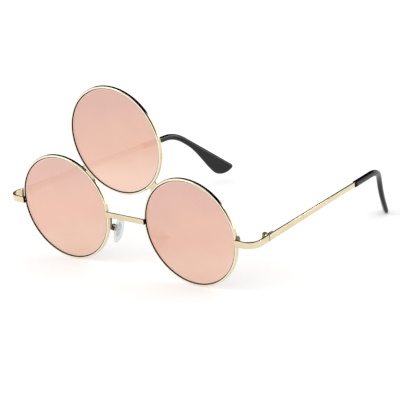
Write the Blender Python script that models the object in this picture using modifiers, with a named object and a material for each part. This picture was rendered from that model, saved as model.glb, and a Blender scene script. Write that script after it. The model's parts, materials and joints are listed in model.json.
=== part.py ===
"""Round sunglasses with a third round lens above the bridge.

Everything is modelled in the frame of the front. X runs to the wearer's left, Y from
the front back to the ears, and Z up the front. The rims' middle plane is y = 0 and the
centres of the two eye lenses lie on z = 0. At the end the whole pair is tipped forward
until it stands on its two lower rims and on the lower of its temple tips.
"""

import math

import bmesh
import bpy
from mathutils import Matrix, Vector

# Driving dimensions, in metres

# Lenses: flat discs with a ridge round the edge
LENS_DIAMETER = 0.0500
LENS_THICKNESS = 0.0011
LENS_RIDGE_REACH = 0.0006
LENS_RIDGE_ROOT = 0.0005
LENS_RIDGE_TIP = 0.0002

# Rims: wire rings with a groove for the lens's ridge
RIM_LIP = 0.0004
RIM_WIDTH = 0.0012
RIM_DEPTH = 0.0019
RIM_CORNER = 0.00040
RIM_SLIT = 0.0003
BRIDGE_SPAN = 0.0210
JOINT_GAP = 0.0011

# Clearances: between pieces that are fixed together, and between pieces that run
FIT_GAP = 0.00015
RUNNING_GAP = 0.00020
CUT_OVERRUN = 0.0010

# Brazed joints between the top rim and the lower rims
BRAZE_HALF_LENGTH = 0.0028
BRAZE_DEPTH = 0.0012

# Bridge and endpieces: flat strap brazed on the front of the rims
STRAP_THICKNESS = 0.0010
STRAP_HEIGHT = 0.0031
STRAP_PROUD = 0.0008
STRAP_LAP = 0.0005
STRAP_EDGE = 0.0002
BRIDGE_HEIGHT = 0.0026
BRIDGE_RISE = 0.0010
ENDPIECE_DROP = 0.0003
ENDPIECE_REACH = 0.0100
ENDPIECE_BEND = 0.0055
ENDPIECE_RETURN = 0.0126

# Rim locks: two blocks and a screw that close a rim on its lens
LOCK_WIDTH = 0.0012
LOCK_DEPTH = 0.0012
LOCK_HEIGHT = 0.0048
LOCK_EDGE = 0.0002
LOCK_SCREW_DIAMETER = 0.0005
LOCK_HEAD_DIAMETER = 0.0010
LOCK_HEAD_HEIGHT = 0.0003
TOP_LOCK_STEP = 0.0042

# Temple hinges: three knuckles on a screw
KNUCKLE_DIAMETER = 0.0024
HINGE_HEIGHT = 0.0036
LEAF_THICKNESS = 0.0007
LEAF_HEIGHT = 0.0034
FRONT_LEAF_LENGTH = 0.0036
TEMPLE_LEAF_LENGTH = 0.0050
HINGE_SCREW_DIAMETER = 0.0010
HINGE_HEAD_DIAMETER = 0.0019
HINGE_HEAD_HEIGHT = 0.0003
SEAM_GAP = 0.0003

# Temples: a strap that narrows to a round core inside the tip
TEMPLE_LENGTH = 0.1002
TEMPLE_END_HEIGHT = 0.0024
TIP_OVERLAP = 0.0230
STRAP_INSERT = 0.0030
STRAP_TAPER = 0.0030
CORE_DIAMETER = 0.0012
CORE_END_MARGIN = 0.0120

# Temple tips: plastic sleeves that bend down and flare to a paddle
TIP_HEIGHT = 0.0030
TIP_WIDTH = 0.0027
TIP_BEND = 0.0160
TIP_DROP_LENGTH = 0.0385
PADDLE_HEIGHT = 0.0090
FLARE_START = 0.0085
FLARE_LENGTH = 0.0285
PADDLE_UPPER_ROUND = 0.0015
PADDLE_LOWER_ROUND = 0.0070
PADDLE_SIDE_ROUND = 0.0030
MOUTH_SCOOP_RADIUS = 0.0024
MOUTH_SCOOP_DEPTH = 0.0008

# Nose pads on wire arms
PAD_LENGTH = 0.0138
PAD_WIDTH = 0.0082
PAD_THICKNESS = 0.0022
PAD_BOSS_WIDTH = 0.0013
PAD_BOSS_LENGTH = 0.0018
PAD_STANDOFF = 0.0022
PAD_OFFSET = 0.0142
PAD_SETBACK = 0.0065
PAD_BELOW = 0.0094
PAD_ARM_DIAMETER = 0.0009
PAD_ARM_LOOP = 0.0024
CLEVIS_WALL = 0.0004
CLEVIS_LENGTH = 0.0022
PAD_SCREW_DIAMETER = 0.0007
PAD_HEAD_DIAMETER = 0.0012
PAD_HEAD_HEIGHT = 0.0003
SLOT_WIDTH = 0.00025
SLOT_DEPTH = 0.0002

# Angles, in degrees
TEMPLE_INWARD = 5.25
TEMPLE_DECLINE = 5.0
TIP_DROP_LEFT = 45.0
TIP_DROP_RIGHT = 37.0
TIP_INWARD_LEFT = 24.8
TIP_INWARD_RIGHT = 23.3
PADDLE_TWIST = 20.0
PAD_SPLAY = 5.0
PAD_FRONTAL = 15.0
PAD_ARM_FROM = 5.0
PAD_ARM_TO = 14.0

# Shares of the piece that they shape
PAD_REAR_FLATNESS_SHARE = 0.55
PAD_EGG_SHARE = 0.04
TIP_OVAL_SHARE = 0.80

# Facet counts
RING_STEPS = 64
SCREW_STEPS = 12
KNUCKLE_STEPS = 20
BEND_STEPS = 8
SLEEVE_SIDES = 14
FLARE_STEPS = 7
ROUND_STEPS = 5

# Worked out from the driving dimensions
LENS_RADIUS = LENS_DIAMETER / 2
RIM_INNER = LENS_RADIUS - RIM_LIP
RIM_OUTER = RIM_INNER + RIM_WIDTH
EYE_OFFSET = BRIDGE_SPAN / 2 + RIM_OUTER
RIM_SPACING = 2 * RIM_OUTER + JOINT_GAP
TOP_RISE = math.sqrt(RIM_SPACING ** 2 - EYE_OFFSET ** 2)
JOINT_ANGLE = math.atan2(TOP_RISE, EYE_OFFSET)
STRAP_FRONT = -(RIM_DEPTH / 2 + STRAP_PROUD)
STRAP_MIDDLE = STRAP_FRONT + STRAP_THICKNESS / 2
STRAP_BACK = STRAP_FRONT + STRAP_THICKNESS
PIVOT_INSET = STRAP_THICKNESS / 2 + FIT_GAP + KNUCKLE_DIAMETER / 2
SLEEVE_START = TEMPLE_LENGTH - TIP_OVERLAP
PAD_BOSS_BACK = PAD_SCREW_DIAMETER / 2 + FIT_GAP + CLEVIS_WALL
LEFT, RIGHT = 1, -1
SIDE_NAMES = {LEFT: "left", RIGHT: "right"}


# Scene helpers

def clear_scene():
    for thing in list(bpy.data.objects):
        bpy.data.objects.remove(thing, do_unlink=True)


def new_collection(name):
    group = bpy.data.collections.new(name)
    bpy.context.scene.collection.children.link(group)
    return group


def new_finish(name, colour, roughness, metallic=0.0, transmission=0.0, alpha=1.0):
    finish = bpy.data.materials.new(name)
    finish.use_nodes = True
    shader = finish.node_tree.nodes["Principled BSDF"]
    shader.inputs["Base Color"].default_value = (*colour, 1.0)
    shader.inputs["Roughness"].default_value = roughness
    shader.inputs["Metallic"].default_value = metallic
    shader.inputs["Transmission Weight"].default_value = transmission
    shader.inputs["Alpha"].default_value = alpha
    return finish


def new_frame(name, parent, location=(0, 0, 0), rotation=(0, 0, 0)):
    """An empty that carries pieces, such as the axis of a hinge."""
    frame = bpy.data.objects.new(name, None)
    PARTS.objects.link(frame)
    frame.parent = parent
    frame.location = location
    frame.rotation_euler = rotation
    return frame


def add_solid(name, mesh, finish, parent, location=(0, 0, 0), rotation=(0, 0, 0)):
    solid = bpy.data.objects.new(name, mesh)
    PARTS.objects.link(solid)
    mesh.materials.clear()
    mesh.materials.append(finish)
    solid.parent = parent
    solid.location = location
    solid.rotation_euler = rotation
    return solid


def add_cutter(name, mesh, parent, location=(0, 0, 0), rotation=(0, 0, 0)):
    cutter = bpy.data.objects.new(name, mesh)
    CUTTERS.objects.link(cutter)
    cutter.hide_render = True
    cutter.display_type = "WIRE"
    cutter.parent = parent
    cutter.location = location
    cutter.rotation_euler = rotation
    return cutter


def combine(target, operand, operation):
    step = target.modifiers.new(operand.name, "BOOLEAN")
    step.operation = operation
    step.solver = "EXACT"
    step.object = operand


def cut(target, *operands):
    for operand in operands:
        combine(target, operand, "DIFFERENCE")


def join(target, *operands):
    for operand in operands:
        combine(target, operand, "UNION")


def round_edges(target, width, segments=2):
    step = target.modifiers.new("edges", "BEVEL")
    step.width = width
    step.segments = segments
    step.limit_method = "ANGLE"


def shade_round(target):
    target.data.shade_smooth()
    target.data.set_sharp_from_angle(angle=math.radians(35))


# Mesh helpers

def mesh_from(bm, name):
    bmesh.ops.recalc_face_normals(bm, faces=bm.faces)
    mesh = bpy.data.meshes.new(name)
    bm.to_mesh(mesh)
    bm.free()
    return mesh


def box_mesh(name, size, centre=(0, 0, 0)):
    bm = bmesh.new()
    bmesh.ops.create_cube(bm, size=1)
    bmesh.ops.scale(bm, vec=size, verts=bm.verts)
    bmesh.ops.translate(bm, vec=centre, verts=bm.verts)
    return mesh_from(bm, name)


def rod_mesh(name, radius, bottom, top, sides):
    """A round rod along Z, from bottom to top."""
    bm = bmesh.new()
    bmesh.ops.create_cone(bm, cap_ends=True, segments=sides, radius1=radius,
                          radius2=radius, depth=top - bottom)
    bmesh.ops.translate(bm, vec=(0, 0, (top + bottom) / 2), verts=bm.verts)
    return mesh_from(bm, name)


def profile_mesh(name, points, closed):
    """An outline of edges in the XZ plane, for the Screw modifier to turn."""
    mesh = bpy.data.meshes.new(name)
    edges = [(i, i + 1) for i in range(len(points) - 1)]
    if closed:
        edges.append((len(points) - 1, 0))
    mesh.from_pydata([(r, 0, z) for r, z in points], edges, [])
    return mesh


def turn_profile(target, steps):
    step = target.modifiers.new("turn", "SCREW")
    step.axis = "Z"
    step.steps = steps
    step.render_steps = steps
    step.use_merge_vertices = True
    step.merge_threshold = 0.00001
    step.use_smooth_shade = False


def curve_to_mesh(curve, name):
    """The closed mesh of a curve, with its loose caps welded on."""
    carrier = bpy.data.objects.new(name, curve)
    CUTTERS.objects.link(carrier)
    scene_state = bpy.context.evaluated_depsgraph_get()
    mesh = bpy.data.meshes.new_from_object(carrier.evaluated_get(scene_state))
    bpy.data.objects.remove(carrier)
    bm = bmesh.new()
    bm.from_mesh(mesh)
    bpy.data.meshes.remove(mesh)
    bmesh.ops.remove_doubles(bm, verts=bm.verts, dist=0.000001)
    return mesh_from(bm, name)


def new_curve(name, points, kind="POLY", cyclic=False):
    curve = bpy.data.curves.new(name, "CURVE")
    curve.dimensions = "3D"
    curve.use_fill_caps = True
    spline = curve.splines.new(kind)
    if kind == "BEZIER":
        spline.bezier_points.add(len(points) - 1)
        for knot, point in zip(spline.bezier_points, points):
            knot.co = point
            knot.handle_left_type = "AUTO"
            knot.handle_right_type = "AUTO"
    else:
        spline.points.add(len(points) - 1)
        for knot, point in zip(spline.points, points):
            knot.co = (*point, 1)
    spline.use_cyclic_u = cyclic
    return curve


def wire_mesh(name, points, diameter, kind="POLY"):
    curve = new_curve(name, points, kind)
    curve.bevel_depth = diameter / 2
    curve.bevel_resolution = 2
    curve.resolution_u = 6
    return curve_to_mesh(curve, name)


def strap_mesh(name, points, thickness, height, edge):
    """A flat strap on edge, with eased corners, along a path."""
    half_thick, half_high = thickness / 2, height / 2
    section = [
        (half_thick, half_high - edge), (half_thick - edge, half_high),
        (edge - half_thick, half_high), (-half_thick, half_high - edge),
        (-half_thick, edge - half_high), (edge - half_thick, -half_high),
        (half_thick - edge, -half_high), (half_thick, edge - half_high),
    ]
    outline = new_curve(name + "_section", [(x, y, 0) for x, y in section], cyclic=True)
    carrier = bpy.data.objects.new(name + "_section", outline)
    CUTTERS.objects.link(carrier)
    path = new_curve(name, points)
    path.twist_mode = "Z_UP"
    path.bevel_mode = "OBJECT"
    path.bevel_object = carrier
    mesh = curve_to_mesh(path, name)
    bpy.data.objects.remove(carrier)
    return mesh


def flat_outline_mesh(name, outline, thickness):
    """A plate of a flat outline given as (y, z), as thick along X as asked."""
    curve = new_curve(name, [(y, z, 0) for y, z in outline], cyclic=True)
    curve.dimensions = "2D"
    curve.fill_mode = "BOTH"
    curve.extrude = thickness / 2
    mesh = curve_to_mesh(curve, name)
    mesh.transform(Matrix(((0, 0, 1, 0), (1, 0, 0, 0), (0, 1, 0, 0), (0, 0, 0, 1))))
    return mesh


def loft_mesh(name, rings):
    """A closed skin over rings of equal point counts."""
    bm = bmesh.new()
    loops = [[bm.verts.new(point) for point in ring] for ring in rings]
    count = len(loops[0])
    for first, second in zip(loops, loops[1:]):
        for i in range(count):
            following = (i + 1) % count
            bm.faces.new((first[i], first[following], second[following], second[i]))
    bm.faces.new(loops[0])
    bm.faces.new(loops[-1])
    return mesh_from(bm, name)


def bend_points(before, corner, after, radius, steps):
    """The arc that rounds a corner between two straight runs."""
    arriving = (corner - before).normalized()
    leaving = (after - corner).normalized()
    turn = arriving.angle(leaving)
    start = corner - arriving * radius * math.tan(turn / 2)
    inward = (leaving - arriving * arriving.dot(leaving)).normalized()
    centre = start + inward * radius
    angles = [turn * i / steps for i in range(steps + 1)]
    return [centre - inward * radius * math.cos(a) + arriving * radius * math.sin(a)
            for a in angles]


def corner_points(centre, radius, start, end, steps):
    """Points (r, z) of an arc about centre, from one angle to another in degrees."""
    angles = [math.radians(start + (end - start) * i / steps) for i in range(steps + 1)]
    return [(centre[0] + radius * math.cos(a), centre[1] + radius * math.sin(a))
            for a in angles]


# Lenses and rims

# A turned piece's axis is Z until it is tipped so that its top faces the front
FACE_FRONT = (math.radians(90), 0, 0)


def lens_profile():
    half = LENS_THICKNESS / 2
    body = LENS_RADIUS - LENS_RIDGE_REACH
    return [
        (0, half), (body, half), (body, LENS_RIDGE_ROOT / 2),
        (LENS_RADIUS, LENS_RIDGE_TIP / 2), (LENS_RADIUS, -LENS_RIDGE_TIP / 2),
        (body, -LENS_RIDGE_ROOT / 2), (body, -half), (0, -half),
    ]


def rim_profile():
    half = RIM_DEPTH / 2
    mouth = LENS_RIDGE_ROOT / 2 + FIT_GAP
    floor = LENS_RIDGE_TIP / 2 + FIT_GAP
    floor_radius = LENS_RADIUS + FIT_GAP
    shoulder = RIM_OUTER - RIM_CORNER
    upper = corner_points((shoulder, half - RIM_CORNER), RIM_CORNER, 90, 0, 2)
    lower = corner_points((shoulder, RIM_CORNER - half), RIM_CORNER, 0, -90, 2)
    groove = [
        (RIM_INNER, -half), (RIM_INNER, -mouth), (floor_radius, -floor),
        (floor_radius, floor), (RIM_INNER, mouth), (RIM_INNER, half),
    ]
    return upper + lower + groove


def build_lens(name, centre):
    mesh = profile_mesh(name, lens_profile(), closed=False)
    lens = add_solid(name, mesh, MIRROR_PINK, FRONT, centre, FACE_FRONT)
    turn_profile(lens, RING_STEPS)


def build_rim(name, centre):
    mesh = profile_mesh(name, rim_profile(), closed=True)
    rim = add_solid(name, mesh, GOLD, FRONT, centre, FACE_FRONT)
    turn_profile(rim, RING_STEPS)
    return rim


def rim_envelope(name, centre):
    """A disc that clears a rim, to seat what is brazed against it."""
    half = RIM_DEPTH / 2 + FIT_GAP
    mesh = rod_mesh(name, RIM_OUTER + FIT_GAP, -half, half, 2 * RING_STEPS)
    return add_cutter(name, mesh, FRONT, centre, FACE_FRONT)


# Screws

def build_screw(name, parent, shank, head, head_height, bottom, top, rotation=(0, 0, 0)):
    """A slotted screw along Z. The head's underside is at top."""
    profile = [
        (0, top + head_height), (head / 2, top + head_height), (head / 2, top),
        (shank / 2, top), (shank / 2, bottom), (0, bottom),
    ]
    mesh = profile_mesh(name, profile, closed=False)
    screw = add_solid(name, mesh, STEEL, parent, rotation=rotation)
    turn_profile(screw, SCREW_STEPS)
    slot_size = (head + CUT_OVERRUN, SLOT_WIDTH, SLOT_DEPTH + CUT_OVERRUN)
    slot_height = top + head_height - SLOT_DEPTH + slot_size[2] / 2
    slot_mesh = box_mesh(name + "_slot", slot_size, (0, 0, slot_height))
    cut(screw, add_cutter(name + "_slot", slot_mesh, parent, rotation=rotation))


# Rim locks

def build_rim_lock(label, rim, frame, rim_inset, rim_back):
    """Two blocks on either side of the rim's slit, drawn together by a screw.

    In frame, Z is the screw's axis, and the rim's wire is centred at -rim_inset on X
    and at -rim_back on Y.
    """
    slit_size = (RIM_WIDTH + CUT_OVERRUN, RIM_DEPTH + CUT_OVERRUN, RIM_SLIT)
    slit = box_mesh("slit_" + label, slit_size, (-rim_inset, -rim_back, 0))
    cut(rim, add_cutter("slit_" + label, slit, frame))

    half = LOCK_HEIGHT / 2
    bore_radius = LOCK_SCREW_DIAMETER / 2 + FIT_GAP
    bore = rod_mesh("lock_bore_" + label, bore_radius, -half - CUT_OVERRUN,
                    half + CUT_OVERRUN, SCREW_STEPS)
    bore_cutter = add_cutter("lock_bore_" + label, bore, frame)
    block_height = half - RIM_SLIT / 2
    block_middle = (half + RIM_SLIT / 2) / 2
    for level, place in (("upper", 1), ("lower", -1)):
        name = "rim_lock_" + level + "_" + label
        size = (LOCK_WIDTH, LOCK_DEPTH, block_height)
        mesh = box_mesh(name, size, (0, 0, place * block_middle))
        block = add_solid(name, mesh, GOLD, frame)
        round_edges(block, LOCK_EDGE, segments=1)
        cut(block, bore_cutter)
    build_screw("rim_lock_screw_" + label, frame, LOCK_SCREW_DIAMETER,
                LOCK_HEAD_DIAMETER, LOCK_HEAD_HEIGHT, -half, half + FIT_GAP)


# Brazed joints of the top rim

def build_braze(side):
    """The brazing that fills the valley between the top rim and a lower rim."""
    name = "braze_" + SIDE_NAMES[side]
    middle = Vector((side * EYE_OFFSET, 0, TOP_RISE)) / 2
    mesh = box_mesh(name, (RIM_WIDTH * 2, BRAZE_DEPTH, BRAZE_HALF_LENGTH * 2))
    braze = add_solid(name, mesh, GOLD, FRONT, middle, (0, side * JOINT_ANGLE, 0))
    cut(braze, ENVELOPES["top"], ENVELOPES[SIDE_NAMES[side]])


# Bridge

def build_bridge(envelopes):
    size = (BRIDGE_SPAN + 2 * STRAP_LAP, STRAP_THICKNESS, BRIDGE_HEIGHT)
    mesh = box_mesh("bridge", size)
    bridge = add_solid("bridge", mesh, GOLD, FRONT, (0, STRAP_MIDDLE, BRIDGE_RISE))
    round_edges(bridge, STRAP_EDGE)
    cut(bridge, *envelopes)


# Endpieces and hinges

def temple_direction(side):
    inward = math.radians(TEMPLE_INWARD)
    decline = math.radians(TEMPLE_DECLINE)
    return Vector((-side * math.sin(inward) * math.cos(decline),
                   math.cos(inward) * math.cos(decline), -math.sin(decline)))


def seam_point(side):
    """Where the strap's middle line meets the seam between endpiece and temple."""
    reach = EYE_OFFSET + RIM_OUTER + ENDPIECE_REACH - STRAP_THICKNESS / 2
    corner = Vector((side * reach, STRAP_MIDDLE, -ENDPIECE_DROP))
    return corner, corner + temple_direction(side) * ENDPIECE_RETURN


def build_endpiece(side, envelope):
    corner, seam = seam_point(side)
    start = Vector((side * (EYE_OFFSET + RIM_OUTER - STRAP_LAP), corner.y, corner.z))
    end = seam - temple_direction(side) * SEAM_GAP / 2
    path = [start] + bend_points(start, corner, end, ENDPIECE_BEND, BEND_STEPS) + [end]
    name = "endpiece_" + SIDE_NAMES[side]
    mesh = strap_mesh(name, path, STRAP_THICKNESS, STRAP_HEIGHT, STRAP_EDGE)
    endpiece = add_solid(name, mesh, GOLD, FRONT)
    cut(endpiece, envelope)


def hinge_frame(side):
    """The hinge axis is Z here, and the open temple runs along Y."""
    inward = math.radians(TEMPLE_INWARD)
    decline = math.radians(TEMPLE_DECLINE)
    outward = Vector((side * math.cos(inward), math.sin(inward), 0))
    _, seam = seam_point(side)
    return new_frame("hinge_axis_" + SIDE_NAMES[side], FRONT,
                     seam - outward * PIVOT_INSET, (-decline, 0, side * inward))


def build_hinge_leaf(name, side, frame, reach, knuckle_levels, bore):
    """A leaf on the strap's inner face, with its knuckles and room for the others.

    The leaf runs from the hinge's axis to reach along Y.
    """
    radius = KNUCKLE_DIAMETER / 2
    size = (LEAF_THICKNESS, abs(reach), LEAF_HEIGHT)
    middle = (side * (radius - LEAF_THICKNESS / 2), reach / 2, 0)
    leaf = add_solid(name, box_mesh(name, size, middle), GOLD, frame)
    round_edges(leaf, STRAP_EDGE, segments=1)

    step = HINGE_HEIGHT / 3
    for level in (1, 0, -1):
        bottom = level * step - step / 2
        top = bottom + step
        if level in knuckle_levels:
            inset = RUNNING_GAP / 2
            lower_inset = 0 if level == -1 else inset
            upper_inset = 0 if level == 1 else inset
            label = name + "_knuckle_" + str(level)
            knuckle = rod_mesh(label, radius, bottom + lower_inset, top - upper_inset,
                               KNUCKLE_STEPS)
            join(leaf, add_cutter(label, knuckle, frame))
        else:
            label = name + "_relief_" + str(level)
            lower_over = CUT_OVERRUN if level == -1 else RUNNING_GAP / 2
            upper_over = CUT_OVERRUN if level == 1 else RUNNING_GAP / 2
            relief = rod_mesh(label, radius + RUNNING_GAP, bottom - lower_over,
                              top + upper_over, KNUCKLE_STEPS)
            cut(leaf, add_cutter(label, relief, frame))
    cut(leaf, bore)


def build_hinge(side, frame):
    label = SIDE_NAMES[side]
    half = HINGE_HEIGHT / 2
    bore_mesh = rod_mesh("hinge_bore_" + label, HINGE_SCREW_DIAMETER / 2 + FIT_GAP,
                         -half - CUT_OVERRUN, half + CUT_OVERRUN, SCREW_STEPS)
    bore = add_cutter("hinge_bore_" + label, bore_mesh, frame)
    build_hinge_leaf("hinge_front_leaf_" + label, side, frame, -FRONT_LEAF_LENGTH, (1, -1), bore)
    build_hinge_leaf("hinge_temple_leaf_" + label, side, frame, TEMPLE_LEAF_LENGTH, (0,), bore)
    build_screw("hinge_screw_" + label, frame, HINGE_SCREW_DIAMETER, HINGE_HEAD_DIAMETER,
                HINGE_HEAD_HEIGHT, -half, half + FIT_GAP)


# Temples and tips

def tip_direction(side, drop):
    inward = math.radians(TIP_INWARD_LEFT if side == LEFT else TIP_INWARD_RIGHT)
    fall = math.radians(drop)
    return Vector((-side * math.sin(inward) * math.cos(fall),
                   math.cos(inward) * math.cos(fall), -math.sin(fall)))


def tip_path(side, drop):
    """The spine of the tip: its mouth, its bend and the end of its paddle."""
    middle = side * PIVOT_INSET
    mouth = Vector((middle, SLEEVE_START, 0))
    elbow = Vector((middle, TEMPLE_LENGTH, 0))
    end = elbow + tip_direction(side, drop) * TIP_DROP_LENGTH
    return mouth, elbow, end


def build_temple(side, frame, drop):
    """The strap tapers towards the ear and goes on as a round core inside the tip."""
    name = "temple_" + SIDE_NAMES[side]
    insert_end = SLEEVE_START + STRAP_INSERT
    taper_end = insert_end + STRAP_TAPER
    start_half, end_half, core_half = STRAP_HEIGHT / 2, TEMPLE_END_HEIGHT / 2, CORE_DIAMETER / 2
    outline = [
        (SEAM_GAP / 2, -start_half), (SLEEVE_START, -end_half), (insert_end, -end_half),
        (taper_end, -core_half), (taper_end, core_half), (insert_end, end_half),
        (SLEEVE_START, end_half), (SEAM_GAP / 2, start_half),
    ]
    mesh = flat_outline_mesh(name, outline, STRAP_THICKNESS)
    temple = add_solid(name, mesh, GOLD, frame, (side * PIVOT_INSET, 0, 0))
    round_edges(temple, STRAP_EDGE)

    mouth, elbow, end = tip_path(side, drop)
    core_start = Vector((mouth.x, insert_end, 0))
    core_end = end - tip_direction(side, drop) * CORE_END_MARGIN
    core_path = [core_start] + bend_points(mouth, elbow, end, TIP_BEND, BEND_STEPS) + [core_end]
    core = wire_mesh(name + "_core", core_path, CORE_DIAMETER)
    join(temple, add_cutter(name + "_core", core, frame))
    return core_path


def smooth_step(share):
    share = min(max(share, 0.0), 1.0)
    return share * share * (3 - 2 * share)


def round_off(distance, total, length):
    """One until length from the end, then a quarter of an ellipse down to the end."""
    share = min(max((distance - total + length) / length, 0.0), 1.0)
    return math.sqrt(1 - share * share)


def sleeve_ring(point, tangent, upper, lower, half_width, twist):
    """An oval ring square to tangent, reaching upper above and lower below point.

    Twist turns it about the tangent.
    """
    turn = Matrix.Rotation(twist, 3, tangent)
    across = turn @ tangent.cross(Vector((0, 0, 1))).normalized()
    down = tangent.cross(across).normalized()
    middle = point + down * (lower - upper) / 2
    half_height = (lower + upper) / 2
    ring = []
    for i in range(SLEEVE_SIDES):
        angle = 2 * math.pi * i / SLEEVE_SIDES
        cosine, sine = math.cos(angle), math.sin(angle)
        wide = math.copysign(abs(cosine) ** TIP_OVAL_SHARE, cosine)
        high = math.copysign(abs(sine) ** TIP_OVAL_SHARE, sine)
        ring.append(middle + across * half_width * wide + down * half_height * high)
    return ring


def sleeve_rings(side, drop):
    mouth, elbow, end = tip_path(side, drop)
    along = tip_direction(side, drop)
    straight = Vector((0, 1, 0))
    bend = bend_points(mouth, elbow, end, TIP_BEND, BEND_STEPS)
    half_height, half_width = TIP_HEIGHT / 2, TIP_WIDTH / 2
    rings = [sleeve_ring(mouth, straight, half_height, half_height, half_width, 0)]
    for i, point in enumerate(bend):
        tangent = straight.slerp(along, i / BEND_STEPS)
        rings.append(sleeve_ring(point, tangent, half_height, half_height, half_width, 0))

    flare = [FLARE_START + FLARE_LENGTH * i / FLARE_STEPS for i in range(FLARE_STEPS)]
    last_run = TIP_DROP_LENGTH - flare[-1]
    shares = [math.sin(math.pi / 2 * i / ROUND_STEPS) for i in range(1, ROUND_STEPS + 1)]
    closing = [flare[-1] + last_run * share for share in shares]
    closing[-1] -= PADDLE_UPPER_ROUND / ROUND_STEPS ** 2
    for distance in flare + closing:
        open_share = smooth_step((distance - FLARE_START) / FLARE_LENGTH)
        lower_full = half_height + (PADDLE_HEIGHT - TIP_HEIGHT) * open_share
        upper = half_height * round_off(distance, TIP_DROP_LENGTH, PADDLE_UPPER_ROUND)
        lower = lower_full * round_off(distance, TIP_DROP_LENGTH, PADDLE_LOWER_ROUND)
        wide = half_width * round_off(distance, TIP_DROP_LENGTH, PADDLE_SIDE_ROUND)
        twist = -side * math.radians(PADDLE_TWIST) * open_share
        rings.append(sleeve_ring(elbow + along * distance, along, upper, lower, wide, twist))
    return rings


def build_tip(side, frame, drop, core_path):
    """A plastic sleeve with a socket for the strap, a bore for the core and a scooped mouth."""
    label = SIDE_NAMES[side]
    name = "temple_tip_" + label
    tip = add_solid(name, loft_mesh(name, sleeve_rings(side, drop)), BLACK_PLASTIC, frame)

    socket_end = SLEEVE_START + STRAP_INSERT + FIT_GAP
    socket_start = SLEEVE_START - CUT_OVERRUN
    socket_size = (STRAP_THICKNESS + 2 * FIT_GAP, socket_end - socket_start,
                   TEMPLE_END_HEIGHT + 2 * FIT_GAP)
    socket_middle = (side * PIVOT_INSET, (socket_start + socket_end) / 2, 0)
    socket = box_mesh(name + "_socket", socket_size, socket_middle)

    last = core_path[-1] + tip_direction(side, drop) * FIT_GAP
    bore_path = [core_path[0]] + core_path[1:-1] + [last]
    bore_size = CORE_DIAMETER + 2 * FIT_GAP
    bore = wire_mesh(name + "_bore", bore_path, bore_size)

    taper_outline = [
        (socket_end - FIT_GAP, -socket_size[2] / 2), (socket_end + STRAP_TAPER, -bore_size / 2),
        (socket_end + STRAP_TAPER, bore_size / 2), (socket_end - FIT_GAP, socket_size[2] / 2),
    ]
    taper = flat_outline_mesh(name + "_taper", taper_outline, socket_size[0])

    scoop_centre = SLEEVE_START + MOUTH_SCOOP_DEPTH - MOUTH_SCOOP_RADIUS
    scoop = rod_mesh(name + "_scoop", MOUTH_SCOOP_RADIUS, -TIP_WIDTH, TIP_WIDTH,
                     KNUCKLE_STEPS)
    cut(tip,
        add_cutter(name + "_socket", socket, frame),
        add_cutter(name + "_taper", taper, frame, (side * PIVOT_INSET, 0, 0)),
        add_cutter(name + "_bore", bore, frame),
        add_cutter(name + "_scoop", scoop, frame, (side * PIVOT_INSET, scoop_centre, 0),
                   (0, math.radians(90), 0)))
    shade_round(tip)


# Nose pads and their arms

def pad_frame(side):
    """The pad's screw lies along Y here, X points away from the nose and Z up the pad."""
    place = (side * PAD_OFFSET, PAD_SETBACK, -PAD_BELOW)
    turn = (0, -side * math.radians(PAD_FRONTAL), -side * math.radians(PAD_SPLAY))
    return new_frame("pad_axis_" + SIDE_NAMES[side], FRONT, place, turn)


def pad_body_mesh(name, side):
    """An egg-shaped cushion of soft plastic, fuller towards the nose and narrower on top."""
    bm = bmesh.new()
    bmesh.ops.create_uvsphere(bm, u_segments=16, v_segments=10, radius=1)
    for vert in bm.verts:
        thick, wide, high = vert.co
        flatness = PAD_REAR_FLATNESS_SHARE if thick * side > 0 else 1.0
        narrowing = 1 - PAD_EGG_SHARE * high
        vert.co = (thick * flatness * PAD_THICKNESS / 2 - side * PAD_STANDOFF,
                   wide * narrowing * PAD_WIDTH / 2, high * PAD_LENGTH / 2)
    return mesh_from(bm, name)


def build_pad(side, frame):
    label = SIDE_NAMES[side]
    name = "nose_pad_" + label
    pad = add_solid(name, pad_body_mesh(name, side), CLEAR_PLASTIC, frame)
    boss_size = (PAD_STANDOFF + PAD_BOSS_BACK, PAD_BOSS_WIDTH, PAD_BOSS_LENGTH)
    boss_middle = (side * (PAD_BOSS_BACK - PAD_STANDOFF) / 2, 0, 0)
    boss = box_mesh(name + "_boss", boss_size, boss_middle)
    bore = rod_mesh(name + "_bore", PAD_SCREW_DIAMETER / 2 + FIT_GAP, -PAD_WIDTH, PAD_WIDTH,
                    SCREW_STEPS)
    join(pad, add_cutter(name + "_boss", boss, frame))
    return pad, add_cutter("pad_screw_bore_" + label, bore, frame, rotation=FACE_FRONT)


def rim_back_point(side, angle):
    """A point on the nose side of a lower rim's back, angle degrees below its middle."""
    radius = (RIM_INNER + RIM_OUTER) / 2
    lower = math.radians(angle)
    return Vector((side * (EYE_OFFSET - radius * math.cos(lower)),
                   RIM_DEPTH / 2 + FIT_GAP + PAD_ARM_DIAMETER / 2,
                   -radius * math.sin(lower)))


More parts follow.
